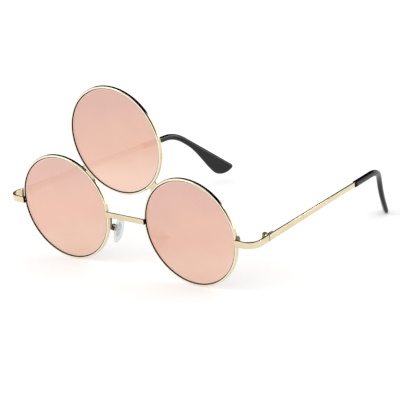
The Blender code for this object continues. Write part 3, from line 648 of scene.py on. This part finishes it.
def plated_screw_steel():
    """Gold-plated screw steel, turned and tumbled: duller and deeper than the wire."""
    finish, tree, shader, spot = new_finish("plated_screw_steel")
    grain, tone, rough = drift(tree, spot, 0.25, 4.0, ("#D3BE94", "#9C865C"), (0.25, 0.45))
    bump = add_node(
        tree, "ShaderNodeBump", {"Height": grain, "Strength": 0.2, "Distance": 0.00002})
    fill(
        tree, shader,
        {"Base Color": tone, "Metallic": 1.0, "Roughness": rough, "Normal": bump})
    return finish


def rose_mirror_coating():
    """A rose mirror coating, vacuum deposited on flat polycarbonate.

    It mirrors its surroundings in pale rose and lets a little through. Its tone runs
    from rose to peach down each lens, clouds softly over a centimetre, and is paler in a
    thin line at the edge. The third lens, above the others, carries painted shade: the
    tone darkens with height. An attribute says which side is coated: the back shows the
    smoky rose of the plastic itself.
    """
    finish, tree, shader, spot = new_finish("rose_mirror_coating")
    cloud_share, slant_share = 0.36, -0.30
    disc = add_node(tree, "ShaderNodeUVMap", uv_map=LENS_MAP)
    axes = add_node(tree, "ShaderNodeSeparateXYZ", {"Vector": disc})
    [cloud] = drift(tree, spot, 16, 1.0)
    clouded = add_node(
        tree, "ShaderNodeMath", {0: cloud, 1: cloud_share, 2: axes.outputs["Y"]},
        operation="MULTIPLY_ADD")
    level = add_node(
        tree, "ShaderNodeMath", {0: axes.outputs["X"], 1: slant_share, 2: clouded},
        operation="MULTIPLY_ADD")
    tones = add_node(tree, "ShaderNodeValToRGB", {"Fac": level})
    ramp = tones.color_ramp
    ramp.interpolation = "EASE"
    ramp.elements.new(0.50)
    steps = ((0.10, "#F2CCB8"), (0.50, "#EABCA8"), (0.95, "#DFB3A5"))
    for stop, (position, colour) in zip(ramp.elements, steps):
        stop.position = position
        stop.color = hex_colour(colour)
    from_middle = add_node(
        tree, "ShaderNodeVectorMath", {0: disc, 1: (0.5, 0.5, 0.0)}, operation="DISTANCE")
    body_share = 0.5 - LENS_RIDGE_REACH / LENS_DIAMETER
    line_share = LENS_PALE_LINE / LENS_DIAMETER
    edge = add_node(
        tree, "ShaderNodeMapRange",
        {"Value": from_middle.outputs["Value"], "From Min": body_share - line_share,
         "From Max": body_share - line_share / 2})
    coat = add_node(
        tree, "ShaderNodeMix", {0: edge, 6: tones, 7: "#F6E6D6"}, data_type="RGBA")
    # Painted shade: the coat darkens with height, most on the third lens above the others
    place = add_node(tree, "ShaderNodeSeparateXYZ", {"Vector": spot})
    height_shade = add_node(
        tree, "ShaderNodeMapRange",
        {"Value": place.outputs["Z"], "From Min": 0.045, "From Max": 0.060, "To Max": 0.10})
    deeper = add_node(
        tree, "ShaderNodeMix", {0: height_shade, 6: coat.outputs[2], 7: "#9A6A62"},
        data_type="RGBA")
    _, rough = drift(tree, spot, 1.5, 3.0, (0.03, 0.08))
    [ripple] = drift(tree, spot, 14, 0.0)
    bump = add_node(
        tree, "ShaderNodeBump", {"Height": ripple, "Strength": 0.15, "Distance": 0.0001})
    coated = add_node(tree, "ShaderNodeAttribute", attribute_name=COATED).outputs["Fac"]
    face = add_node(
        tree, "ShaderNodeMix",
        {0: coated, 6: "#8C6259", 7: deeper.outputs[2]}, data_type="RGBA")
    metal = add_node(tree, "ShaderNodeMath", {0: coated, 1: 0.95}, operation="MULTIPLY")
    solid = add_node(
        tree, "ShaderNodeMapRange", {"Value": coated, "To Min": 0.35, "To Max": 0.90})
    fill(
        tree, shader,
        {"Base Color": face.outputs[2], "Metallic": metal, "Alpha": solid,
         "Roughness": rough, "Normal": bump})
    return finish


def polished_black_acetate():
    """Black cellulose acetate, heat-bent and buffed: deep black under a clear gloss."""
    finish, tree, shader, spot = new_finish("polished_black_acetate")
    _, tone = drift(tree, spot, 5, 3.0, ("#060606", "#121213"))
    buff, rough = drift(tree, spot, 0.8, 4.0, (0.08, 0.18))
    bump = add_node(
        tree, "ShaderNodeBump", {"Height": buff, "Strength": 0.08, "Distance": 0.00003})
    fill(tree, shader, {"Base Color": tone, "Roughness": rough, "Normal": bump,
                        "IOR": 1.49, "Specular IOR Level": 0.40})
    return finish


def soft_clear_vinyl():
    """Soft moulded vinyl of a nose pad: clear, with a faint cool haze and a satin skin."""
    finish, tree, shader, spot = new_finish("soft_clear_vinyl")
    _, tone, rough = drift(tree, spot, 2.5, 3.0, ("#F1F4F5", "#DCE2E6"), (0.12, 0.30))
    edge = add_node(tree, "ShaderNodeLayerWeight", {"Blend": 0.15})
    solid = add_node(
        tree, "ShaderNodeMapRange",
        {"Value": edge.outputs["Facing"], "To Min": 0.22, "To Max": 0.90})
    fill(
        tree, shader,
        {"Base Color": tone, "Alpha": solid, "Roughness": rough, "IOR": 1.40,
         "Specular IOR Level": 0.3})
    return finish


def milky_polycarbonate():
    """Moulded polycarbonate of the stiff insert inside a nose pad: slightly milky."""
    finish, tree, shader, spot = new_finish("milky_polycarbonate")
    _, tone = drift(tree, spot, 1.2, 2.0, ("#FDFEFE", "#F3F5F6"))
    fill(
        tree, shader,
        {"Base Color": tone, "Roughness": 0.25, "IOR": 1.45, "Transmission Weight": 0.10})
    return finish


# Lenses and rims

def lens_outline():
    half = LENS_THICKNESS / 2
    body = LENS_RADIUS - LENS_RIDGE_REACH
    return [
        (0, half), (body - LENS_EDGE, half), (body, half - LENS_EDGE),
        (body, LENS_RIDGE_ROOT / 2), (LENS_RADIUS, LENS_RIDGE_TIP / 2),
        (LENS_RADIUS, -LENS_RIDGE_TIP / 2), (body, -LENS_RIDGE_ROOT / 2),
        (body, LENS_EDGE - half), (body - LENS_EDGE, -half), (0, -half)]


def rim_section():
    """The wire's section, as radius from the middle of the wire and depth to the back."""
    half = RIM_DEPTH / 2
    mouth = LENS_RIDGE_ROOT / 2 + FIT_GAP
    floor = LENS_RIDGE_TIP / 2 + FIT_GAP
    floor_radius = LENS_RADIUS + FIT_GAP
    shoulder = RIM_OUTER - RIM_CORNER
    lip = RIM_INNER + LIP_EDGE
    outline = [(lip + SHADED_LIP, half)]
    outline += arc_points((shoulder, half - RIM_CORNER), RIM_CORNER, 90, 0, CORNER_STEPS)
    outline += arc_points((shoulder, RIM_CORNER - half), RIM_CORNER, 0, -90, CORNER_STEPS)
    outline.append((lip + SHADED_LIP, -half))
    outline += arc_points((lip, LIP_EDGE - half), LIP_EDGE, -90, -180, LIP_STEPS)
    outline += [(RIM_INNER, -mouth), (floor_radius, -floor), (floor_radius, floor),
                (RIM_INNER, mouth)]
    outline += arc_points((lip, half - LIP_EDGE), LIP_EDGE, 180, 90, LIP_STEPS)
    return [(radius - RING_RADIUS, -depth, 0) for radius, depth in outline]


def add_lens(label, centre):
    mesh = turned_mesh("lens_disc", lens_outline(), LENS_STEPS)
    place = mesh.uv_layers.new(name=LENS_MAP)
    for loop in mesh.loops:
        spot = mesh.vertices[loop.vertex_index].co / LENS_DIAMETER
        place.data[loop.index].uv = (spot.x + 0.5, spot.y + 0.5)
    mark(mesh, COATED, lambda face: face.normal.z > COATED_FACING)
    mesh.transform(Matrix.Translation(centre) @ FACE_FRONT)
    add_piece("mirrored_lens_" + label, mesh, ROSE_MIRROR, "lens_" + label)


def add_rim(label, centre, slit_angle):
    values = {"Ring radius": RING_RADIUS, "Slit angle": slit_angle, "Slit width": RIM_SLIT,
              "Steps": RING_STEPS, "Finish": GOLD}
    mesh = grow(WIRE_RING, line_mesh("rim_section", rim_section(), closed=True), values)
    groove_radius = RIM_INNER + LIP_EDGE + SHADED_LIP

    # Painted shade on the groove, the lip's inner wall and a thin band of the front by the
    # lip
    def in_groove(face):
        across = Vector((face.center.x, face.center.y, 0))
        inward = face.normal.dot(across) < 0
        return across.length < groove_radius or (inward and across.length < RING_RADIUS)

    mark(mesh, PAINTED_SHADE, in_groove)
    # Painted highlight on the faces towards the front
    mark(mesh, PAINTED_HIGHLIGHT, lambda face: face.normal.z > HIGHLIGHT_FACING)
    mesh.transform(Matrix.Translation(centre) @ FACE_FRONT)
    add_piece("grooved_rim_" + label, mesh, GOLD, "rim_" + label)


def add_braze(label, side):
    """Brazing drawn into the valley between two rims, hollow towards its open ends."""
    towards_top = Vector((-side * EYE_OFFSET, 0, TOP_RISE)) / RIM_SPACING
    valley = Vector((towards_top.z, 0, -towards_top.x))
    middle = Vector((side * EYE_OFFSET, 0, TOP_RISE)) / 2
    bm = bmesh.new()
    borders = []
    for face in (-1, 1):
        rows = []
        for i in range(BRAZE_ALONG_STEPS + 1):
            run = 2 * i / BRAZE_ALONG_STEPS - 1
            ending = sqrt(1 - BRAZE_TAPER_SHARE * run ** 4)
            row = []
            for j in range(BRAZE_ACROSS_STEPS + 1):
                spread = 2 * j / BRAZE_ACROSS_STEPS - 1
                hollow = 1 - spread ** 2
                reach = run * BRAZE_HALF_LENGTH * (1 - BRAZE_HOLLOW_SHARE * hollow)
                to_wire = RIM_SPACING / 2 - sqrt(RIM_OUTER ** 2 - reach ** 2)
                depth = BRAZE_DEPTH / 2 * (1 - BRAZE_THIN_SHARE * hollow) * ending
                across = towards_top * spread * (to_wire + BRAZE_LAP)
                outward = Vector((0, face * depth, 0))
                row.append(bm.verts.new(middle + valley * reach + across + outward))
            rows.append(row)
        for first, second in zip(rows, rows[1:]):
            for j in range(BRAZE_ACROSS_STEPS):
                bm.faces.new((first[j], first[j + 1], second[j + 1], second[j]))
        borders.append(rows[0] + [row[-1] for row in rows[1:]] + rows[-1][-2::-1]
                       + [row[0] for row in rows[-2:0:-1]])
    join_loops(bm, *borders)
    mesh = closed_mesh(bm, "braze")
    # Painted shade on the brazing's open ends
    mark(mesh, PAINTED_SHADE, lambda face: abs(face.normal.dot(valley)) > BRAZE_END_FACING)
    add_piece("brazed_joint_" + label, mesh, GOLD, "braze_" + label)


# Screws, rim locks and hinge leaves

def add_screw(name, node, place, half_grip, shank, head, head_height):
    """A slotted screw along Z, through half its grip to each side, then a fit gap."""
    top = half_grip + FIT_GAP
    length = top + half_grip + head_height / 2
    values = {
        "Shank radius": shank / 2, "Shank length": length,
        "Shank middle": length / 2 - half_grip, "Head radius": head / 2,
        "Head height": head_height, "Head middle": top + head_height / 2,
        "Head top": top + head_height, "Slot length": 2 * head, "Slot width": SLOT_WIDTH,
        "Slot height": 2 * SLOT_DEPTH, "Sides": SCREW_SIDES, "Finish": SCREW_STEEL}
    mesh = eased(grow(SLOTTED_SCREW, bpy.data.meshes.new("screw"), values), FINE_EDGE / 2)
    mesh.transform(place)
    add_piece(name, mesh, SCREW_STEEL, node)


def add_eased_solid(name, node, edge, shade_share, body="front"):
    """A solid's own shape in gold, with its edges eased and a share of painted shade over
    it.
    """
    mesh = eased(merged_copy(node), edge)
    mark(mesh, PAINTED_SHADE, lambda face: shade_share)
    add_piece(name, mesh, GOLD, node, body, ORIGIN)


def add_lock(label, place):
    add_screw("slotted_lock_screw_" + label, "rim_lock_screw_" + label, place,
              LOCK_HEIGHT / 2, LOCK_SCREW_DIAMETER, LOCK_HEAD_DIAMETER, LOCK_HEAD_HEIGHT)
    for block in ("upper_" + label, "lower_" + label):
        add_eased_solid(
            "closing_block_" + block, "rim_lock_" + block, FINE_EDGE, BLOCK_SHADE_SHARE)


def add_hinge(label, place):
    add_screw(
        "slotted_hinge_screw_" + label, "hinge_screw_" + label, place, HINGE_HEIGHT / 2,
        HINGE_SCREW_DIAMETER, HINGE_HEAD_DIAMETER, HINGE_HEAD_HEIGHT)
    for kind, body in (("front", "front"), ("temple", "temple_" + label)):
        leaf = kind + "_leaf_" + label
        add_eased_solid(
            "knuckled_" + leaf, "hinge_" + leaf, LEAF_EDGE, LEAF_SHADE_SHARE, body)


# Straps: bridge, endpieces and temples

def strap_mesh(path, height, taper=None):
    """A strap along a path. A taper is its start and end on Y and its end height."""
    start, end, end_height = taper or (0.0, 1.0, height)
    values = {
        "Thickness": STRAP_THICKNESS, "Height": height, "Edge radius": STRAP_EDGE,
        "Taper from": start, "Taper to": end, "End height": end_height,
        "Edge steps": STRAP_EDGE_STEPS, "Finish": GOLD}
    return eased(grow(FLAT_STRAP, line_mesh("strap_path", path), values), FINE_EDGE)


def heading(side, inward_deg, down_deg):
    """The way to the back, turned inward and down by so much."""
    inward, down = radians(inward_deg), radians(down_deg)
    return Vector((-side * sin(inward) * cos(down), cos(inward) * cos(down), -sin(down)))


def endpiece_corner(side):
    reach = EYE_OFFSET + RIM_OUTER + ENDPIECE_REACH - STRAP_THICKNESS / 2
    return Vector((side * reach, STRAP_MIDDLE, -ENDPIECE_DROP))


def seam_point(side, gap=0.0):
    """Where endpiece and temple meet, or a gap before it."""
    along = heading(side, TEMPLE_INWARD_DEG, TEMPLE_DECLINE_DEG)
    return endpiece_corner(side) + along * (ENDPIECE_RETURN - gap)


def hinge_place(side):
    """The hinge axis is Z here, and the open temple runs along Y."""
    inward = radians(TEMPLE_INWARD_DEG)
    outward = Vector((side * cos(inward), sin(inward), 0))
    turn = Euler((-radians(TEMPLE_DECLINE_DEG), 0, side * inward))
    return Matrix.LocRotScale(seam_point(side) - outward * PIVOT_INSET, turn, None)


def faces_end(face):
    """The sawn and brazed ends of a strap that lies across the front."""
    return abs(face.normal.x) > END_FACING


def mark_strap(mesh, is_shaded_end):
    """Paints shade on a strap: all over its sawn ends, and in part on its top edge."""
    mark(mesh, PAINTED_SHADE, lambda face: 1.0 if is_shaded_end(face)
         else TOP_SHADE_SHARE * (face.normal.z > TOP_FACING))


def add_bridge():
    reach = BRIDGE_SPAN / 2 + STRAP_LAP
    path = [Vector((side * reach, STRAP_MIDDLE, 0)) for side in (-1, 1)]
    mesh = strap_mesh(path, BRIDGE_HEIGHT)
    mesh.transform(Matrix.Translation((0, 0, BRIDGE_RISE)))
    # Painted shade on both ends and, in part, on the top edge
    mark_strap(mesh, faces_end)
    add_piece("bridge_strap", mesh, GOLD, "bridge")


def add_endpiece(label, side):
    corner = endpiece_corner(side)
    start = Vector((side * (EYE_OFFSET + RIM_OUTER - STRAP_LAP), corner.y, corner.z))
    end = seam_point(side, SEAM_GAP / 2)
    path = [start] + bend_points(start, corner, end, ENDPIECE_BEND) + [end]
    mesh = strap_mesh(path, STRAP_HEIGHT)
    end_x = abs(start.x) + FINE_EDGE
    seam = end.y - FINE_EDGE * 2

    # Painted shade on the end that laps the rim and on the seam end
    def is_shaded_end(face):
        at_rim = faces_end(face) and abs(face.center.x) < end_x
        return at_rim or face.center.y > seam

    mark_strap(mesh, is_shaded_end)
    add_piece("endpiece_strap_" + label, mesh, GOLD, "endpiece_" + label)


def add_temple(label, side, hinge):
    path = [Vector((side * PIVOT_INSET, along, 0))
            for along in (SEAM_GAP / 2, SLEEVE_START, SLEEVE_START + STRAP_INSERT)]
    mesh = strap_mesh(path, STRAP_HEIGHT, (SEAM_GAP / 2, SLEEVE_START, TEMPLE_END_HEIGHT))
    seam = SEAM_GAP / 2 + FINE_EDGE
    # Painted shade on the seam end and, in part, on the top edge
    mark_strap(mesh, lambda face: face.center.y < seam)
    mesh.transform(hinge)
    add_piece("temple_strap_" + label, mesh, GOLD, "temple_" + label, "temple_" + label)


# Temple tips

def smooth_step(share):
    share = min(max(share, 0.0), 1.0)
    return share * share * (3 - 2 * share)


def round_off(distance, length):
    """One until length from the tip's end, then a quarter of an ellipse down to it."""
    share = min(max((distance - TIP_DROP_LENGTH + length) / length, 0.0), 1.0)
    return sqrt(1 - share * share)


def oval_ring(point, tangent, upper, lower, half_width, power=TIP_OVAL_SHARE, twist=0.0):
    """An oval ring square to tangent, reaching upper above and lower below point."""
    turn = Matrix.Rotation(twist, 3, tangent)
    across = turn @ tangent.cross(Vector((0, 0, 1))).normalized()
    down = tangent.cross(across).normalized()
    middle = point + down * (lower - upper) / 2
    half_height = (lower + upper) / 2
    ring = []
    for i in range(TIP_SIDES):
        angle = 2 * pi * (i + 0.5) / TIP_SIDES
        cosine, sine = cos(angle), sin(angle)
        wide = copysign(abs(cosine) ** power, cosine)
        high = copysign(abs(sine) ** power, sine)
        ring.append(middle + across * half_width * wide + down * half_height * high)
    return ring


def scooped(ring):
    """Moves the points of a ring at the mouth back onto the scoop that was milled there."""
    centre = SLEEVE_START + MOUTH_SCOOP_DEPTH - MOUTH_SCOOP_RADIUS
    moved = []
    for point in ring:
        back = centre + sqrt(MOUTH_SCOOP_RADIUS ** 2 - point.z ** 2) - SLEEVE_START
        moved.append(point + Vector((0, back, 0)))
    return moved


def tip_mesh(side, drop_deg, inward_deg):
    mouth = Vector((side * PIVOT_INSET, SLEEVE_START, 0))
    elbow = Vector((side * PIVOT_INSET, TEMPLE_LENGTH, 0))
    along = heading(side, inward_deg, drop_deg)
    straight = Vector((0, 1, 0))
    half_high, half_wide = TIP_HEIGHT / 2, TIP_WIDTH / 2

    def sleeve(point, tangent=straight, inset=0.0):
        high = half_high - inset
        return oval_ring(point, tangent, high, high, half_wide - inset)

    def socket(point):
        high = TEMPLE_END_HEIGHT / 2 + FIT_GAP
        wide = STRAP_THICKNESS / 2 + FIT_GAP
        return oval_ring(point, straight, high, high, wide, SOCKET_OVAL_SHARE)

    # The socket for the strap, from its bottom out to the scooped mouth
    rings = [socket(mouth + straight * (STRAP_INSERT + FIT_GAP)), scooped(socket(mouth))]

    # The rounded lip of the mouth
    for turn_deg in (90, 60, 30, 0):
        inset = MOUTH_LIP * sin(radians(turn_deg))
        rings.append([point + straight * (MOUTH_LIP - inset)
                      for point in scooped(sleeve(mouth, inset=inset))])

    # The straight sleeve, down which the scoop fades out, and its bend over the ear
    plain = sleeve(mouth)
    milled = scooped(plain)
    for i in range(1, MOUTH_STEPS + 1):
        share = i / MOUTH_STEPS
        ring = sleeve(mouth + straight * MOUTH_FADE * share)
        rings.append([point + (cut - uncut) * (1 - share)
                      for point, cut, uncut in zip(ring, milled, plain)])
    end = elbow + along * TIP_DROP_LENGTH
    for i, point in enumerate(bend_points(mouth, elbow, end, TIP_BEND)):
        rings.append(sleeve(point, straight.slerp(along, i / BEND_STEPS)))

    # The drop behind the ear, which flares to a paddle with a rounded end. Its last ring
    # stays open by a hair, so that no points fall together
    flare = [FLARE_START + FLARE_LENGTH * i / FLARE_STEPS for i in range(FLARE_STEPS)]
    last_run = TIP_DROP_LENGTH - flare[-1]
    closing = [flare[-1] + last_run * sin(pi / 2 * i / ROUND_STEPS)
               for i in range(1, ROUND_STEPS + 1)]
    closing[-1] -= END_HAIR
    for distance in flare + closing:
        open_share = smooth_step((distance - FLARE_START) / FLARE_LENGTH)
        lower_full = half_high + (PADDLE_HEIGHT - TIP_HEIGHT) * open_share
        upper = half_high * round_off(distance, PADDLE_UPPER_ROUND)
        lower = lower_full * round_off(distance, PADDLE_LOWER_ROUND)
        wide = half_wide * round_off(distance, PADDLE_SIDE_ROUND)
        twist = -side * radians(PADDLE_TWIST_DEG) * open_share
        rings.append(
            oval_ring(elbow + along * distance, along, upper, lower, wide, twist=twist))
    return loft_mesh("tip", rings)


def add_tip(label, side, hinge):
    mesh = tip_mesh(side, TIP_DROP_DEG[label], TIP_INWARD_DEG[label])
    mesh.transform(hinge)
    add_piece("acetate_tip_" + label, mesh, BLACK_ACETATE, "temple_tip_" + label,
              "temple_" + label)


# Nose pads

def pad_place(side):
    """The pad's screw lies along Y here, X points away from the nose and Z up the pad."""
    turn = Euler((0, -side * radians(PAD_FRONTAL_DEG), -side * radians(PAD_SPLAY_DEG)))
    pivot = Vector((side * PAD_OFFSET, PAD_SETBACK, -PAD_BELOW))
    return Matrix.LocRotScale(pivot, turn, None)


def egg_mesh(name, side, thick, wide, high):
    """An egg-shaped lens, fuller towards the nose and narrower at the top."""
    bm = bmesh.new()
    bmesh.ops.create_uvsphere(bm, u_segments=PAD_SIDES, v_segments=PAD_ROWS, radius=1)
    for vert in bm.verts:
        x, y, z = vert.co
        flatness = PAD_REAR_FLATNESS_SHARE if x * side > 0 else 1.0
        narrowing = 1 - PAD_EGG_SHARE * z
        vert.co = (x * flatness * thick / 2 - side * PAD_STANDOFF,
                   y * narrowing * wide / 2, z * high / 2)
    return closed_mesh(bm, name)


def add_pad(label, side, place):
    node = "nose_pad_" + label
    shell = egg_mesh("pad_shell", side, PAD_THICKNESS, PAD_WIDTH, PAD_LENGTH)
    plate = egg_mesh(
        "pad_plate", side, PAD_THICKNESS * INSERT_THICKNESS_SHARE,
        PAD_WIDTH * INSERT_WIDTH_SHARE, PAD_LENGTH * INSERT_LENGTH_SHARE)
    boss_size = (PAD_STANDOFF + PAD_BOSS_BACK, PAD_BOSS_WIDTH, PAD_BOSS_LENGTH)
    boss_middle = (side * (PAD_BOSS_BACK - PAD_STANDOFF) / 2, 0, 0)
    boss = eased(box_mesh("pad_boss", boss_size, boss_middle), FINE_EDGE * 2, 3)
    pieces = (("vinyl_pad_", shell, CLEAR_VINYL), ("pad_insert_", plate, MILKY_INSERT),
              ("pad_boss_", boss, MILKY_INSERT))
    for name, mesh, finish in pieces:
        mesh.transform(place)
        add_piece(name + label, mesh, finish, node, node)


def rim_back_point(side, angle_deg):
    """A point on the nose side of a lower rim's back, an angle below its middle."""
    lower = radians(angle_deg)
    return Vector(
        (side * (EYE_OFFSET - RING_RADIUS * cos(lower)),
         RIM_DEPTH / 2 + FIT_GAP + PAD_ARM_DIAMETER / 2, -RING_RADIUS * sin(lower)))


def add_pad_arm(label, side, place):
    node = "pad_arm_" + label
    room = PAD_BOSS_WIDTH / 2 + FIT_GAP
    cheek = room + CLEVIS_WALL
    wall_inside = hypot(PAD_BOSS_BACK, PAD_BOSS_LENGTH / 2)
    wall_outside = wall_inside + CLEVIS_WALL

    # The clevis is one strip folded round the boss
    outline = [
        (-PAD_BOSS_BACK, -cheek), (wall_outside, -cheek), (wall_outside, cheek),
        (-PAD_BOSS_BACK, cheek), (-PAD_BOSS_BACK, room), (wall_inside, room),
        (wall_inside, -room), (-PAD_BOSS_BACK, -room)]
    half = CLEVIS_LENGTH / 2
    rings = [[(side * x, y, z) for x, y in outline] for z in (-half, half)]
    clevis = eased(loft_mesh("clevis", rings), FINE_EDGE * 2, 3)
    clevis.transform(place)

    anchor = place @ Vector((side * (wall_inside + CLEVIS_WALL / 2), 0, 0))
    approach = place @ Vector((side * (wall_outside + PAD_ARM_LOOP), 0, 0))
    middle_deg = (PAD_ARM_FROM_DEG + PAD_ARM_TO_DEG) / 2
    foot = [rim_back_point(side, angle)
            for angle in (PAD_ARM_FROM_DEG, middle_deg, PAD_ARM_TO_DEG)]
    swing = (foot[-1] + approach) / 2 - Vector((0, 0, PAD_ARM_LOOP / 2))
    wire = grow(
        BENT_WIRE, line_mesh("arm_route", foot + [swing, approach, anchor]),
        {"Diameter": PAD_ARM_DIAMETER, "Sides": WIRE_SIDES, "Steps": WIRE_STEPS,
         "Finish": GOLD})
    for name, mesh in (("pad_clevis_", clevis), ("pad_arm_wire_", wire)):
        # Painted shade over the whole clevis and arm wire
        mark(mesh, PAINTED_SHADE, lambda face: ARM_SHADE_SHARE)
        add_piece(name + label, mesh, GOLD, node)

    add_screw(
        "slotted_pad_screw_" + label, "pad_screw_" + label,
        place @ Matrix.Rotation(radians(-90), 4, "X"), cheek, PAD_SCREW_DIAMETER,
        PAD_HEAD_DIAMETER, PAD_HEAD_HEIGHT)


# Table, light and camera

def stage_sheet(name, width, height, place, colour):
    """A flat dull sheet of the studio. Returns it, its material's tree and its shader."""
    bm = bmesh.new()
    bmesh.ops.create_grid(bm, x_segments=1, y_segments=1, size=0.5)
    bmesh.ops.scale(bm, vec=(width, height, 1), verts=bm.verts)
    bmesh.ops.transform(bm, matrix=place, verts=bm.verts)
    sheet = show(name, closed_mesh(bm, name))
    finish, tree, shader, _ = new_finish(name)
    fill(tree, shader, {"Base Color": colour, "Roughness": 1.0,
                        "Specular IOR Level": 0.0, "Emission Color": "#FFFFFF"})
    sheet.data.materials.append(finish)
    return sheet, tree, shader


def seen_ray(tree):
    """One for rays that show a surface: from the camera, in a gloss or through glass."""
    path = add_node(tree, "ShaderNodeLightPath")
    either = add_node(
        tree, "ShaderNodeMath",
        {0: path.outputs["Is Camera Ray"], 1: path.outputs["Is Glossy Ray"]},
        operation="MAXIMUM")
    return add_node(
        tree, "ShaderNodeMath", {0: either, 1: path.outputs["Is Transmission Ray"]},
        operation="MAXIMUM").outputs[0]


def add_table():
    """A pale table. Seen straight or in a reflection it is white, with a soft shadow."""
    _, tree, shader = stage_sheet("table", TABLE_WIDTH, TABLE_WIDTH, ORIGIN, "#F2F2F2")
    glow = add_node(
        tree, "ShaderNodeMath", {0: seen_ray(tree), 1: TABLE_GLOW}, operation="MULTIPLY")
    fill(tree, shader, {"Emission Strength": glow})


def add_world():
    """A white room, a little dimmer as a light than it looks."""
    world = bpy.data.worlds.new("white_room")
    world.use_nodes = True
    tree = world.node_tree
    tree.nodes.clear()
    strength = add_node(
        tree, "ShaderNodeMapRange",
        {"Value": seen_ray(tree), "To Min": ROOM_LIGHT, "To Max": 1.0})
    sky = add_node(tree, "ShaderNodeBackground", {"Color": "#FFFFFF", "Strength": strength})
    add_node(tree, "ShaderNodeOutputWorld", {"Surface": sky})
    bpy.context.scene.world = world


def add_card(name, place, target, width, height, glow):
    """A card that only reflections show, as photographers use to draw edges.

    It is black and paints a dark reflection, or white with a glow and paints a highlight;
    it neither lights nor shades the pair.
    """
    turn = (Vector(target) - Vector(place)).to_track_quat("Z", "Y")
    turned = Matrix.LocRotScale(Vector(place), turn, None)
    card, tree, shader = stage_sheet(name, width, height, turned, "#0C0B09")
    fill(tree, shader, {"Emission Strength": glow})
    for ray in ("camera", "diffuse", "transmission", "shadow"):
        setattr(card, "visible_" + ray, False)


def add_lamp(name, place, target, width, height, watts):
    light = bpy.data.lights.new(name, "AREA")
    light.shape = "RECTANGLE"
    light.size = width
    light.size_y = height
    light.energy = watts
    lamp = show(name, light)
    lamp.location = place
    turn = (Vector(target) - Vector(place)).to_track_quat("-Z", "Y")
    lamp.rotation_euler = turn.to_euler()


def add_camera():
    """The photograph's camera, solved from the lens outlines, hinges and tips."""
    azimuth, elevation, roll = (radians(d) for d in (40.292, 22.838, -7.209))
    distance, aside, above, setback = 0.943, 0.033151, 0.008889, 0.0007
    picture_pixels, pixels_per_metre = 400, 2227
    right = Vector((cos(azimuth), sin(azimuth), 0))
    back = Vector(
        (sin(azimuth) * cos(elevation), -cos(azimuth) * cos(elevation), sin(elevation)))
    up = back.cross(right)
    image_x = right * cos(roll) + up * sin(roll)
    image_y = up * cos(roll) - right * sin(roll)
    centre = image_x * aside + image_y * above + back * distance - Vector((0, setback, 0))
    turn = Matrix((image_x, image_y, back)).transposed().to_4x4()
    data = bpy.data.cameras.new("photo_camera")
    data.sensor_width = SENSOR_MM
    data.lens = SENSOR_MM * distance * pixels_per_metre / picture_pixels
    data.clip_start = 0.01
    camera = show("photo_camera", data)
    camera.matrix_world = FRONT_PLACE @ Matrix.Translation(centre) @ turn
    bpy.context.scene.camera = camera


kept = set(frame["nodes"].values()) | set(frame["bodies"].values())
for thing in list(bpy.data.objects):
    if thing not in kept:
        bpy.data.objects.remove(thing)

WIRE_RING = wire_ring_tree()
FLAT_STRAP = flat_strap_tree()
BENT_WIRE = bent_wire_tree()
SLOTTED_SCREW = slotted_screw_tree()

GOLD = polished_gold_plating()
SCREW_STEEL = plated_screw_steel()
ROSE_MIRROR = rose_mirror_coating()
BLACK_ACETATE = polished_black_acetate()
CLEAR_VINYL = soft_clear_vinyl()
MILKY_INSERT = milky_polycarbonate()

TOP_SLIT_ANGLE = JOINT_ANGLE + TOP_LOCK_STEP / RIM_OUTER
RIMS = {
    "left": (Vector((EYE_OFFSET, 0, 0)), 0.0),
    "right": (Vector((-EYE_OFFSET, 0, 0)), pi),
    "top": (Vector((0, 0, TOP_RISE)), -TOP_SLIT_ANGLE),
}
for label, (centre, slit_angle) in RIMS.items():
    add_lens(label, centre)
    add_rim(label, centre, slit_angle)

add_bridge()
for label, side in SIDES.items():
    add_braze(label, side)
    add_endpiece(label, side)
    lock_x = side * (EYE_OFFSET + RIM_OUTER + FIT_GAP + LOCK_WIDTH / 2)
    lock_y = STRAP_BACK + FIT_GAP + LOCK_DEPTH / 2
    add_lock(label, Matrix.Translation((lock_x, lock_y, 0)))
    hinge = hinge_place(side)
    add_hinge(label, hinge)
    add_temple(label, side, hinge)
    add_tip(label, side, hinge)
    pad = pad_place(side)
    add_pad(label, side, pad)
    add_pad_arm(label, side, pad)

top_turn = Matrix.Translation((0, 0, TOP_RISE)) @ Matrix.Rotation(TOP_SLIT_ANGLE, 4, "Y")
top_lock_y = RIM_DEPTH / 2 + FIT_GAP + LOCK_DEPTH / 2
add_lock("top", top_turn @ Matrix.Translation((RING_RADIUS, top_lock_y, 0)))

add_table()
add_world()
for card in CARDS:
    add_card(*card)
add_lamp(*KEY_LAMP)
add_camera()

bpy.context.scene.view_settings.view_transform = "Standard"
